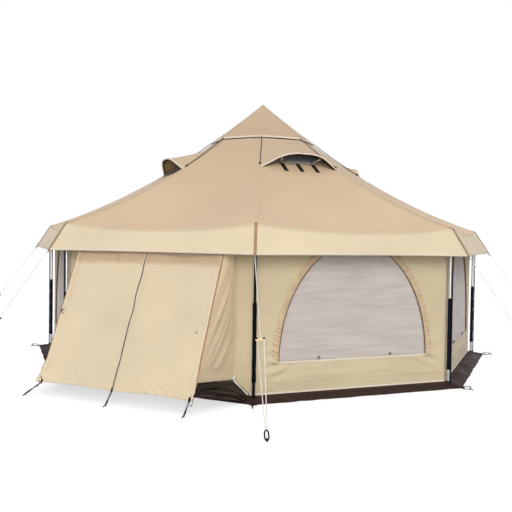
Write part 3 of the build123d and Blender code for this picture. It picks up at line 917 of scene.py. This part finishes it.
def door_wall():
    """Wall behind the vestibule, with the doorway cut out of it."""
    half = WALL_HALF - 0.001
    level = 1.28

    def point(across, height):
        share = across / half
        if height >= level:
            height = level + (height - level) * (wall_top(share) - level) / (WALL_TOP - level)
        wrinkle = 0.005 * ripple(across * 6, height * 16, 4) + 0.003 * ripple(across * 15, height * 4, 1)
        out = WALL_OUT - 0.001 + (wrinkle - 0.006) * (1 - abs(share) ** 8)
        return place(out, across, height, DOOR_ANGLE)

    def keep(across, height):
        if abs(across) >= DOORWAY_HALF or height <= DOORWAY_LOW:
            return True
        past = abs(across) - (DOORWAY_HALF - DOORWAY_CORNER)
        over = height - (DOORWAY_HIGH - DOORWAY_CORNER)
        if past > 0 and over > 0:
            return hypot(past, over) > DOORWAY_CORNER
        return height > DOORWAY_HIGH

    across = chain((-half, -DOORWAY_HALF, DOORWAY_HALF, half), (16, 60, 16))
    heights = chain((WALL_BOTTOM, DOORWAY_LOW, DOORWAY_HIGH, WALL_TOP), (2, 60, 6))
    piece = sheet("door_wall_cloth", point, across, heights, keep=keep)
    dress(piece, wall_cloth, cad="door_wall")


def wall_hems():
    """Pale tape round the foot of the walls, and the level seam above it."""
    for name, height, width, cloth in (("wall_hem_tape", WALL_BOTTOM + 0.009, 0.018, trim_cloth),
                                       ("wall_low_seam", 0.135, 0.013, wall_cloth)):
        path = []
        for turn in spread(0, SIDES, 240):
            side = floor(turn) % SIDES
            if side == DOOR_SIDE and name == "wall_low_seam":
                continue
            path.append((ring_place(turn % SIDES, WALL_OUT + 0.003, height), UPWARD))
        dress(ribbon(name, [path], width, 0.003), cloth)


# Ground cloths

def mud_skirt():
    skirt_out = SKIRT_RADIUS * FLAT

    def point(turn, step):
        out = WALL_OUT + 0.001 + (skirt_out - WALL_OUT) * step
        share = side_share(turn)
        height = WALL_BOTTOM + 0.002 - (WALL_BOTTOM - 0.002) * smooth(step) ** 0.8
        wave = 0.5 + 0.5 * ripple(turn * 9, step * 2, 6)
        height += 0.010 * wave * sin(pi * step) + 0.005 * max(0, ripple(turn * 22, step, 2)) * step
        edge = 0.010 * ripple(turn * 11, 0, 4) * step * (1 - abs(share) ** 4)
        return ring_place(turn, out + edge - 0.004 * step, max(0.0025, height))

    piece = sheet("mud_skirt_cloth", point, spread(0, SIDES, 480)[:-1], spread(0, 1, 8), closed=True)
    dress(piece, mud_cloth, cad="mud_skirt")
    loops = []
    patches = []
    for corner in range(SIDES):
        angle = corner_angle(corner)
        across = sideways(angle)
        path = []
        for share in spread(0, 1, 24):
            turn = pi * (2 * share - 1)
            radius = SKIRT_RADIUS + 0.040 + 0.042 * cos(turn)
            wide = 0.006 * sin(turn)
            rise = 0.016 + 0.012 * sin(turn) + 0.006 * cos(turn)
            path.append((place(radius, wide, rise, angle), across))
        loops.append(path)
        patches.append([(place(POLE_RING - 0.03 + 0.19 * share, 0, 0.036 - 0.028 * share, angle), across)
                        for share in spread(0, 1, 6)])
    dress(ribbon("skirt_peg_loops", loops, 0.014, 0.005), black_web, cad="skirt_loops")
    dress(ribbon("skirt_corner_patches", patches, 0.060, 0.002), mud_cloth)


def groundsheet():
    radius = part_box("groundsheet")[1].x
    radii = spread(0.02, 1, 16)

    def point(turn, step):
        out = radius * FLAT * min(step, 1.0)
        height = 0.0035 + 0.0018 * (1 + ripple(turn * 3, step * 9, 3)) * step
        if step > 1:
            height += 0.075 * (step - 1)
        return ring_place(turn, out, height)

    piece = sheet("groundsheet_tray", point, spread(0, SIDES, 128)[:-1], radii + [1.3, 1.65, 2], closed=True,
                  thick=0.0012)
    dress(piece, floor_cloth, cad="groundsheet")


# Poles

def pole_cloth():
    """Sleeves with a few creases, and the strap down the outside of each pole."""
    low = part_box("pole_sleeves")[0].z
    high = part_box("pole_sleeves")[1].z
    sleeves = []
    for corner in range(SIDES):
        centre = place(POLE_RING, 0, 0, corner_angle(corner))
        path = []
        for height in spread(low, high, 50):
            sway = Vector((ripple(height * 16, corner), ripple(height * 13, 9), 0)) * 0.0012
            path.append(centre + sway + UPWARD * height)
        sleeves.append(path)

    def swell(share):
        hem = 0.06 if abs(share - 0.5) > 0.485 else 0.0
        return 1 + 0.05 * sin(share * 46) * sin(share * 17 + 1) - hem

    piece = tube("pole_sleeve_cloth", sleeves, 0.0172, 20, swell)
    dress(piece, sleeve_cloth, cad="pole_sleeves")
    straps = []
    strap_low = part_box("corner_straps")[0].z
    strap_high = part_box("corner_straps")[1].z
    strap_radius = -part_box("corner_straps")[0].y + 0.001
    for corner in range(SIDES):
        angle = corner_angle(corner)
        path = []
        for height in spread(strap_low, strap_high, 40):
            out = strap_radius + 0.0008 * ripple(height * 6, corner)
            path.append((place(out, 0.001 * ripple(height * 4, 3), height, angle), sideways(angle)))
        straps.append(path)
    dress(ribbon("corner_strap_webbing", straps, 0.020, 0.006), black_web,
          cad="corner_straps")


# Roof vents

def hood_share(share):
    """How high the hood's rim stands at a place across the side, from 0 to 1."""
    return max(0.0, 1 - abs(share) ** 3) ** 1.8


def hood_point(side, share, step):
    out = HOOD_START + (HOOD_RIM - HOOD_START) * step
    radius = out / FLAT
    opened = max(0.0, (out - HOOD_FOLD) / (HOOD_RIM - HOOD_FOLD)) ** 1.3
    rise = 0.004 + HOOD_RISE * hood_share(share) * opened
    rise += 0.004 * ripple(share * 5 + side, step * 4, 6) * opened
    slope = roof_slope(radius)
    reach = out + rise * sin(slope)
    height = roof_height(radius) - dip(share, radius) + rise * cos(slope)
    return place(reach, share * out * TANGENT, height, side_angle(side))


def vents():
    plane_slope = roof_slope(0.95)
    for number, side in enumerate(VENT_SIDES, start=1):
        angle = side_angle(side)
        normal = place(sin(plane_slope), 0, cos(plane_slope), angle)
        hood = sheet(f"vent_hood_cloth_{number}", lambda a, b, s=side: hood_point(s, a, b),
                     spread(-1, 1, 60), spread(0, 1, 22))
        dress(hood, roof_cloth, cad=f"vent_hood_{number}")
        rim = [hood_point(side, share, 1) for share in spread(-1, 1, 70)]
        binding = tube(f"vent_binding_{number}", [rim], 0.008, 8)
        dress(binding, trim_cloth)
        # Painted shadow: a dark ribbon just inside the hood's rim stands for the shade under it.
        rim_shadow_path = []
        for share in spread(-0.9, 0.9, 60):
            spot = hood_point(side, share, 0.985)
            rim_shadow_path.append((spot - normal * 0.014, normal))
        inner = ribbon(f"vent_rim_shadow_{number}", [rim_shadow_path], 0.018, 0.003)
        dress(inner, black_web)
        props = []
        pads = []
        for hand in (-1, 1):
            foot_out = VENT_SILL + 0.013
            foot = place(foot_out, hand * STRAP_SPREAD, roof_height(foot_out / FLAT) + 0.006, angle)
            head = hood_point(side, hand * 0.50, 0.97) - normal * 0.012
            across = place(0.2, 1, 0, angle)
            props.append([(foot.lerp(head, share), across) for share in spread(0, 1, 8)])
            pads.append([(foot - (head - foot).normalized() * 0.01 + Vector((0, 0, 0.002)), across),
                         (foot.lerp(head, 0.22) + normal * 0.003, across)])
        stays = ribbon(f"vent_stay_straps_{number}", props, 0.020, 0.004)
        dress(stays, pale_plastic)
        tabs = ribbon(f"vent_stay_tabs_{number}", pads, 0.028, 0.006)
        dress(tabs, black_web)
        for piece in (hood, binding, inner, stays, tabs):
            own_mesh(piece)
        if number == 1:
            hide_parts("vent_stays")
    nets()
    sill_straps()


def nets():
    for side in VENT_SIDES:
        def point(share, out, side=side):
            radius = out / FLAT
            height = roof_height(radius) - dip(share, radius) - 0.004
            height -= 0.004 * (1 - share * share)
            return place(out, share * out * TANGENT, height, side_angle(side))
        piece = sheet(f"vent_net_{side}", point, spread(-VENT_EDGE - 0.05, VENT_EDGE + 0.05, 30),
                      spread(VENT_TOP - 0.012, VENT_SILL + 0.012, 10), thick=0.0008)
        dress(piece, net)
        edge = []
        out = VENT_SILL + 0.004
        radius = out / FLAT
        for share in spread(-VENT_EDGE - 0.03, VENT_EDGE + 0.03, 24):
            height = roof_height(radius) - dip(share, radius) + 0.003
            edge.append((place(out, share * out * TANGENT, height, side_angle(side)),
                         place(1, 0, -0.66, side_angle(side))))
        dress(ribbon(f"vent_sill_tape_{side}", [edge], 0.020, 0.003), trim_cloth)
    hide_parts("vent_meshes")


def sill_straps():
    """Three hook-and-loop straps below each vent, each of two side-by-side tapes."""
    paths = []
    for side in VENT_SIDES:
        angle = side_angle(side)
        for middle in (-STRAP_SPREAD, 0.0, STRAP_SPREAD):
            for shift in (-0.0118, 0.0118):
                path = []
                for out in spread(VENT_SILL + 0.035, VENT_SILL + 0.172, 8):
                    height = roof_height(out / FLAT) - dip(middle / (out * TANGENT), out / FLAT) + 0.0045
                    path.append((place(out, middle + shift, height, angle), sideways(angle)))
                paths.append(path)
    dress(ribbon("vent_sill_straps", paths, 0.0215, 0.004), black_web, cad="vent_straps")


# Door

SIDE_NAMES = {-1: "left", 1: "right"}
DOOR_ANGLE = side_angle(DOOR_SIDE)
DOOR_LEVEL = sideways(DOOR_ANGLE)
SHEET_RUN = SHEET_BOTTOM[0] - SHEET_TOP[0]
SHEET_DROP = SHEET_TOP[1] - SHEET_BOTTOM[1]
SHEET_LENGTH = hypot(SHEET_RUN, SHEET_DROP)
SHEET_OUTWARD = (SHEET_DROP / SHEET_LENGTH, SHEET_RUN / SHEET_LENGTH)
HINGE_HEIGHT = [joint for joint in frame["joints"] if joint["name"] == "door_left_lift"][0]["pos_m"][2]


def sheet_out(height):
    return SHEET_TOP[0] + (SHEET_TOP[1] - height) / SHEET_DROP * SHEET_RUN


def sheet_place(height, across, lift=0.0):
    """Point on the sloping door sheet, raised off it by lift.

    The cloth wavers a little along the centre zip, and its top tucks in under the roof."""
    out = sheet_out(height)
    near = exp(-(across / 0.10) ** 2) * smooth((height - 0.20) / 0.15)
    across += 0.006 * near * ripple(height * 8, 0.5, 11.0)
    lift += 0.006 * near * ripple(height * 7, 3.5, 12.0)
    if height > TUCK_HEIGHT:
        share = (height - TUCK_HEIGHT) / (SHEET_TOP[1] - TUCK_HEIGHT)
        roof = roof_height(EAVE_RADIUS) - dip(across / (EAVE_OUT * TANGENT), EAVE_RADIUS) - 0.016
        out += (EAVE_OUT - 0.022 - out) * smooth(share)
        height = TUCK_HEIGHT + (roof - TUCK_HEIGHT) * share
    return place(out + lift * SHEET_OUTWARD[0], across, height + lift * SHEET_OUTWARD[1], DOOR_ANGLE)


def hem_flare(height, hand):
    """How much wider a door half gets towards its hem. The left one is pegged further out."""
    if hand < 0:
        return LEFT_FLARE * smooth((0.30 - height) / 0.2)
    return RIGHT_FLARE * smooth((0.42 - height) / 0.32)


def door_half(hand):
    """Cloth of one door half, from under the valance to its hem. hand is -1 on the left."""
    def point(across, height):
        share = (across - 0.005) / (SHEET_HALF - 0.005)
        low = smooth((0.42 - height) / 0.32)
        wide = across + hem_flare(height, hand) * share
        free = sin(pi * min(1, max(0, share))) ** 0.5
        folds = 0.014 * ripple(wide * 1.6 + hand * 3, height * 1.3, 2)
        folds += 0.006 * ripple(wide * 4, height * 7, 5)
        fine = 0.0020 * ripple(wide * 6 + height * 5, height * 26 + wide * 7, hand + 4.0)
        slant = height * 26 + hand * wide * 20 + 3 * ripple(wide * 3, height * 3, hand + 7.0)
        creases = 0.008 * low * ripple(slant, wide * 2, 1.0) + fine
        gathers = ripple(wide * 24 + 2 * ripple(height * 9, wide), height * 7, hand + 3.0)
        top = smooth((height - 1.0) / 0.2) * (0.010 * gathers + 0.008 * ripple(wide * 5, height * 44, 3))
        arc = 0.012 * sin(pi * share) * smooth((0.20 - height) / 0.1)
        return sheet_place(height + arc, hand * wide, (folds + creases + top) * free - 0.001)

    heights = chain((SHEET_TOP[1], HINGE_HEIGHT + HINGE_ABOVE, HINGE_HEIGHT - HINGE_BELOW, SHEET_BOTTOM[1]),
                    (14, 6, 150))
    side = SIDE_NAMES[hand]
    piece = sheet(f"door_cloth_{side}", point, spread(0.005, SHEET_HALF, 100), heights)
    dress(piece, door_cloth, body=None, cad=f"door_flap_{side}")
    bend(piece, side)


def bend(piece, side):
    """Bakes a door piece's placement into its mesh."""
    start = sheet_place(HINGE_HEIGHT + HINGE_ABOVE, 0)
    end = sheet_place(HINGE_HEIGHT - HINGE_BELOW, 0)
    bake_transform(piece)


def door_trim(hand):
    """Zip tapes, piping, storm flaps and hem of one door half."""
    side = SIDE_NAMES[hand]
    body = f"door_{side}"
    heights = spread(TUCK_HEIGHT + 0.03, SHEET_BOTTOM[1] + 0.012, 100)

    def strip(name, across, width, lift, material, thick=0.003, low=0.0):
        path = []
        for height in heights:
            if height > low:
                wide = across + hem_flare(height, hand) * across / SHEET_HALF
                path.append((sheet_place(height, hand * wide, lift), DOOR_LEVEL))
        piece = ribbon(name, [path], width, thick)
        dress(piece, material, body=None)
        bend(piece, side)
        return piece

    centre = strip(f"centre_zip_{side}", 0.0024, 0.0046, 0.003, zip_brown)
    strip(f"side_zip_{side}", SHEET_HALF + 0.003, 0.012, 0.002, zip_tan, low=0.2)
    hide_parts(f"zip_tapes_{side}")
    low = 0.19
    strip(f"side_zip_piping_{side}", SHEET_HALF - 0.006, 0.006, 0.004, trim_cloth, 0.005, low)
    strip(f"side_zip_flap_{side}", SHEET_HALF - 0.026, 0.034, 0.004, flap_cloth, 0.004, low)
    strip(f"centre_zip_piping_{side}", 0.0095, 0.006, 0.004, trim_cloth, 0.005)
    strip(f"centre_zip_flap_{side}", 0.026, 0.026, 0.003, flap_cloth, 0.004)
    path = []
    for share in spread(0, 1, 40):
        across = 0.012 + (SHEET_HALF - 0.012) * share
        flare = (LEFT_FLARE if hand < 0 else RIGHT_FLARE) * share
        arc = 0.012 * sin(pi * share)
        spot = sheet_place(SHEET_BOTTOM[1] + 0.014 + arc, hand * (across + flare), 0.001)
        path.append((spot, place(SHEET_RUN, 0, -SHEET_DROP, DOOR_ANGLE)))
    dress(ribbon(f"door_hem_{side}", [path], 0.030, 0.006), hem_cloth, body)


def door_small_parts():
    """Pull cords on the sliders, the roll-up toggle and tie, and the stretch cords to the pegs."""
    pulls = (("centre_zip_slider", 0.0), ("side_zip_slider_left", -SHEET_HALF - 0.008),
             ("side_zip_slider_right", SHEET_HALF + 0.008))
    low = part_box("centre_zip_slider")[0].z
    for body, across in pulls:
        path = []
        for share in spread(0, 1, 10):
            sway = 0.006 * sin(4 * share)
            path.append(sheet_place(low + 0.006 - 0.05 * share, across + sway, 0.012 - 0.003 * share))
        piece = tube(f"{body}_cord", [path], 0.0022, 8, lambda share: 1.0 + 0.8 * (share > 0.75))
        dress(piece, dark_cord, body)
    button = [sheet_place(0.58, SHEET_HALF - 0.085, lift) for lift in (0.0, 0.004, 0.008)]
    dress(tube("door_button", [button], 0.008, 16, lambda share: 1.0 - 0.25 * share), taupe_plastic,
          "door_right")
    ties = []
    for slant in (-1, 1):
        path = []
        for share in spread(-1.6, 1.6, 10):
            across = 0.010 * share - SHEET_HALF + 0.004 + 0.006 * share ** 2
            path.append(sheet_place(0.665 + slant * 0.012 * share, across, 0.010 + 0.004 * slant * share))
        ties.append(path)
    dress(tube("door_tie", ties, 0.0028, 8), dark_cord, "door_left")
    stretch_cords("left", ((-0.700, -0.800), (0.0, 0.0)))
    stretch_cords("right", ((0.695, 0.695),))


def stretch_cords(side, runs):
    """Doubled elastic cord from the door's hem to each peg, with a black hook at its end."""
    body = f"door_{side}"
    cords = []
    hooks = []
    tabs = []
    for hem_side, peg_side in runs:
        hem = sheet_place(SHEET_BOTTOM[1] + 0.004, hem_side, 0.004)
        ground = place(sheet_out(0) + 0.036, peg_side, 0.014, DOOR_ANGLE)
        split = hem.lerp(ground, 0.62)
        along = (ground - hem).normalized()
        for hand in (-1, 1):
            cords.append([hem.lerp(split, share) + DOOR_LEVEL * hand * 0.006 * sin(pi * share)
                          for share in spread(0, 1, 12)])
        hooks.append([split - along * 0.006, split + along * 0.010, split.lerp(ground, 0.55), ground,
                      ground + along * 0.010])
        tabs.append([(sheet_place(SHEET_BOTTOM[1] + shift, hem_side, 0.008), DOOR_LEVEL)
                     for shift in (0.026, 0.008, -0.010)])
    dress(tube(f"door_stretch_cords_{side}", cords, 0.0028, 8), grey_cord, body,
          f"door_loops_{side}")
    dress(tube(f"door_cord_hooks_{side}", hooks, 0.008, 10, lambda share: 1.0 - 0.35 * abs(2 * share - 1)),
          black_plastic, body)
    dress(ribbon(f"door_cord_tabs_{side}", tabs, 0.018, 0.004), black_web, body)


def door_header():
    """Strip of the door sheet that stays on the tent, with its gathered top edge."""
    def point(across, height):
        wave = 0.006 * ripple(across * 4, height * 18, 7)
        return sheet_place(height, across, -0.006 + wave)
    piece = sheet("door_header_cloth", point, spread(-SHEET_HALF, SHEET_HALF, 60),
                  spread(SHEET_TOP[1], HINGE_HEIGHT + 0.012, 10))
    dress(piece, door_cloth, cad="door_header")


def gusset(hand):
    """Side cloth of the vestibule, with slanting folds that stand outward."""
    seam_out = WALL_OUT + 0.006

    def point(share, step):
        low = GUSSET_FOOT + (GUSSET_FRONT_FOOT - GUSSET_FOOT) * share
        height = GUSSET_TOP + (low - GUSSET_TOP) * step
        reach = seam_out + (sheet_out(height) - 0.010 - seam_out) * share
        across = GUSSET_SEAM - (GUSSET_SEAM - SHEET_HALF - 0.002) * share
        free = sin(pi * share) ** 0.7 * sin(pi * min(1, step * 1.05 + 0.03)) ** 0.3
        slant = step - 0.7 * share
        folds = 0.5 + 0.5 * ripple(slant * 8, share * 1.5, hand + 3.0)
        folds = 0.028 * folds + 0.010 * (0.5 + 0.5 * ripple(slant * 21, share * 2.5, hand + 8.0))
        return place(reach, hand * (across + folds * free), height, DOOR_ANGLE)

    side = SIDE_NAMES[hand]
    piece = sheet(f"gusset_cloth_{side}", point, spread(0, 1, 40), spread(0, 1, 70))
    dress(piece, gusset_cloth, f"gusset_{side}", f"door_gusset_{side}")
    path = [(place(seam_out + 0.002, hand * (GUSSET_SEAM + 0.004), height, DOOR_ANGLE), DOOR_LEVEL)
            for height in spread(GUSSET_TOP, GUSSET_FOOT, 40)]
    dress(ribbon(f"gusset_seam_{side}", [path], 0.016, 0.003), wall_cloth)


def vestibule_flap(hand):
    """Dark coated flap between the foot of the gusset, the door's lower corner and the corner pole."""
    wall = WALL_OUT + 0.008
    top = [(sheet_out(0.217) - 0.009, SHEET_HALF + 0.004, 0.217), (wall, GUSSET_SEAM + 0.005, 0.145),
           (wall, 0.900, 0.048)]
    low = [(sheet_out(0.128) - 0.009, SHEET_HALF + 0.006, 0.128), (2.560, 0.835, 0.052),
           (2.400, 0.912, 0.016)]

    def along(points, share):
        index = min(1, int(share * 2))
        part = share * 2 - index
        return [a + (b - a) * part for a, b in zip(points[index], points[index + 1])]

    def point(share, step):
        high = along(top, share)
        foot = along(low, share)
        out, across, height = [a + (b - a) * step for a, b in zip(high, foot)]
        loose = sin(pi * step) * sin(pi * share) ** 0.4
        fan = 0.014 * ripple(step * 7 + share * 1.5, share * 1.5, hand + 6.0) * loose
        crease = 0.006 * sin(step * 20 + 3 * ripple(share * 2, step * 2)) * loose
        return place(out + 0.4 * fan, hand * (across + fan), max(0.004, height + crease), DOOR_ANGLE)

    side = SIDE_NAMES[hand]
    return dress(sheet(f"vestibule_flap_{side}", point, spread(0, 1, 60), spread(0, 1, 48)), flap_mud_cloth)


def gusset_ties():
    lines = []
    toggles = []
    for hand in (-1, 1):
        top = place(WALL_OUT + 0.022, hand * (GUSSET_SEAM + 0.006), 0.152, DOOR_ANGLE)
        end = place(WALL_OUT + 0.040, hand * (GUSSET_SEAM + 0.150), 0.050, DOOR_ANGLE)
        for shift in (-0.004, 0.004):
            lines.append([top.lerp(end, share) + Vector((0, 0, shift - 0.006 * sin(pi * share)))
                          for share in spread(0, 1, 10)])
        toggles.append([top + Vector((0, 0, -0.004)), top + Vector((0.004, -0.004, 0.012)),
                        top + Vector((0.010, -0.008, 0.032))])
    dress(tube("gusset_tie_cords", lines, 0.0032, 8), white_rope, cad="gusset_ties")
    dress(tube("gusset_tie_toggles", toggles, 0.009, 12, lambda share: 0.8 + 0.35 * sin(pi * share)),
          pale_plastic)


# Guy lines

def guy_lines():
    ring = Vector((RING_OUT, 0, RING_HEIGHT))
    foot = Vector((GUY_FOOT[0], 0, GUY_FOOT[1]))
    along = (foot - ring).normalized()
    runner = ring + along * ((foot - ring).length * RUNNER_SHARE)
    links = []
    for corner in range(SIDES):
        body = f"guy_runner_{corner + 1}"

        def spot(base, across=0.0, corner=corner):
            return guy_place(base, across, corner)

        line = [spot(ring.lerp(runner, share)) for share in spread(0.012, 0.995, 30)]
        main = tube(f"guy_line_{corner}", [line], ROPE_RADIUS, 8)
        dress(main, white_rope, body=None)
        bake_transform(main)
        strands = []
        for hand in (-1, 1):
            path = [spot(runner - along * 0.012, hand * 0.030), spot(runner - along * 0.009, hand * 0.026)]
            for share in spread(0, 1, 26):
                path.append(spot((runner + along * 0.004).lerp(foot, share), hand * (0.025 - 0.019 * share)))
            strands.append(path)
        loop = [spot(foot + along * 0.002 * sin(turn) - along * 0.004, 0.006 * cos(turn))
                for turn in spread(0, pi, 8)]
        strands.append(loop)
        lower = tube(f"guy_strands_{corner}", strands, ROPE_RADIUS, 8)
        dress(lower, white_rope, body=None)
        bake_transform(lower)
        if corner == 0:
            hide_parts("guy_lines")
        knots = [[spot(runner - along * back, hand * wide)
                  for back, wide in ((0.006, 0.026), (0.014, 0.027), (0.020, 0.026))] for hand in (-1, 1)]
        knot = tube(f"guy_knots_{corner}", knots, 0.0065, 10, lambda share: 0.8 + 0.4 * sin(pi * share))
        dress(knot, black_web, body)
        links.append(link_path(foot + along * 0.030, along, corner))
        runner_piece(corner, runner, along, body)
    dress(tube("guy_ground_links", links, 0.0052, 12), dark_steel, cad="guy_rings")


def guy_place(base, across, corner):
    """Point of a guy line. The front line is pegged a little to one side, so it turns about its ring."""
    swing = FRONT_SWING if corner == 0 else 0.0
    reach = base.x - RING_OUT
    out = RING_OUT + reach * cos(swing) - across * sin(swing)
    side = reach * sin(swing) + across * cos(swing)
    return place(out, side, base.z, corner_angle(corner))


def link_path(middle, along, corner):
    """Oval of round wire lying along the rope."""
    path = []
    for turn in spread(0, 2 * pi, 48):
        bulge = copysign(abs(cos(turn)) ** 0.8, cos(turn))
        spot = middle + along * 0.0345 * bulge
        path.append(guy_place(spot, 0.0140 * sin(turn), corner))
    return path


def runner_piece(corner, middle, along, body):
    """Moulded runner: a bar with a raised centre and rounded ends."""
    def point(turn, share):
        reach = 0.036 * share
        size = 0.0085 * (1 - 0.35 * abs(share) ** 6) * (1.12 - 0.25 * smooth(abs(share) * 1.4))
        peak = 1 + 0.9 * (1 - smooth(abs(share) * 2.2)) * max(0, -sin(turn))
        rise = size * sin(turn) * peak
        depth = size * 0.8 * cos(turn)
        if abs(share) >= 1:
            rise *= 0.2
            depth *= 0.2
        normal = Vector((-along.z, 0, along.x))
        spot = middle + along * rise + normal * depth
        return guy_place(spot, reach, corner)
    shares = [-1.0, -0.995] + spread(-0.97, 0.97, 26) + [0.995, 1.0]
    piece = sheet(f"runner_bar_{corner}", point, spread(0, 2 * pi, 20)[:-1], shares, closed=True, thick=0)
    close_ends(piece)
    dress(piece, runner_plastic, body, body)


def close_ends(piece):
    build = bmesh.new()
    build.from_mesh(piece.data)
    open_edges = [edge for edge in build.edges if edge.is_boundary]
    bmesh.ops.holes_fill(build, edges=open_edges, sides=0)
    bmesh.ops.recalc_face_normals(build, faces=build.faces)
    build.to_mesh(piece.data)
    build.free()


# CAD parts that keep their own shape

def carried_parts():
    finishes = {
        pole_steel: ["centre_pole_lower", "centre_pole_middle", "centre_pole_upper", "side_poles_lower",
                     "side_poles_upper"],
        plated: ["apex_pin", "hem_rings"],
        dark_steel: ["pegs"],
        black_plastic: ["centre_pole_foot", "side_pole_feet"],
        pale_plastic: ["side_pole_tips"],
        brass: ["door_eyelet_left", "door_eyelet_right"],
        slider_metal: ["centre_zip_slider", "side_zip_slider_left", "side_zip_slider_right"],
    }
    for material, names in finishes.items():
        for name in names:
            mesh = frame["nodes"][name].data
            mesh.materials.clear()
            mesh.materials.append(material)


# Stage

def studio_floor():
    mesh = bpy.data.meshes.new("floor")
    build = bmesh.new()
    bmesh.ops.create_grid(build, x_segments=1, y_segments=1, size=60)
    build.to_mesh(mesh)
    build.free()
    piece = new_object("floor", mesh)
    paint = Shader("floor_white")
    shade = paint.ramp(paint.noise(0.4, 3), 0.2, 0.8)
    base = paint.blend(shade, (0.69436, 0.69436, 0.69436), (0.70837, 0.70837, 0.70837))
    paint.finish(base, 0.9, Emission_Color=(1, 1, 1, 1))
    seen = paint.node("ShaderNodeLightPath").outputs["Is Camera Ray"]
    paint.link(paint.times(seen, 0.66), "Emission Strength")
    mesh.materials.append(paint.material)


def lights():
    world = bpy.data.worlds.new("studio")
    bpy.context.scene.world = world
    world.use_nodes = True
    tree = world.node_tree
    back = tree.nodes["Background"]
    path = tree.nodes.new("ShaderNodeLightPath")
    seen = tree.nodes.new("ShaderNodeMix")
    seen.data_type = "RGBA"
    dim, bright = colour_sockets(seen.inputs)
    dim.default_value = (0.28, 0.262, 0.295, 1)
    bright.default_value = (1.0, 1.0, 1.0, 1)
    tree.links.new(path.outputs["Is Camera Ray"], seen.inputs["Factor"])
    tree.links.new(colour_sockets(seen.outputs)[0], back.inputs["Color"])
    # Name, place, width in degrees and power
    lamps = (("key", (1.0, -8.0, 5.8), 25, 1.15), ("fill", (-0.3, -8.0, 1.3), 50, 2.4),
             ("top", (0, -1.0, 10.0), 60, 0.85), ("back", (0.5, 8.0, 3.0), 50, 1.0))
    for name, spot, angle, power in lamps:
        data = bpy.data.lights.new(name, "SUN")
        data.angle = radians(angle)
        data.energy = power
        lamp = new_object(name, data)
        lamp.location = spot
        lamp.rotation_euler = (UPWARD - Vector(spot)).to_track_quat("-Z", "Y").to_euler()


def camera():
    eye = place(CAMERA_DISTANCE, 0, CAMERA_HEIGHT, CAMERA_AZIMUTH - pi / 2)
    level = place(0, 1, 0, CAMERA_HEADING)
    right = place(1, 0, 0, CAMERA_HEADING)
    forward = level * cos(CAMERA_PITCH) + UPWARD * sin(CAMERA_PITCH)
    up = right.cross(forward)
    rolled_right = right * cos(CAMERA_ROLL) + up * sin(CAMERA_ROLL)
    rolled_up = up * cos(CAMERA_ROLL) - right * sin(CAMERA_ROLL)
    data = bpy.data.cameras.new("camera")
    data.sensor_width = 36.0
    data.lens = CAMERA_LENS
    item = new_object("camera", data)
    turned = item.matrix_world.copy()
    for row in range(3):
        turned[row][0] = rolled_right[row]
        turned[row][1] = rolled_up[row]
        turned[row][2] = -forward[row]
        turned[row][3] = eye[row]
    item.matrix_world = turned
    bpy.context.scene.camera = item


bpy.context.scene.view_settings.view_transform = "Standard"

roof()
peak_cap()
cap_cords()
valance()
valance_fittings()
windows()
door_wall()
wall_hems()
mud_skirt()
groundsheet()
pole_cloth()
vents()
door_header()
for hand in (-1, 1):
    door_half(hand)
    door_trim(hand)
    gusset(hand)
flaps = [vestibule_flap(hand) for hand in (-1, 1)]
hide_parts("vestibule_flaps")
door_small_parts()
gusset_ties()
guy_lines()
carried_parts()
studio_floor()
lights()
camera()

bpy.context.view_layer.update()
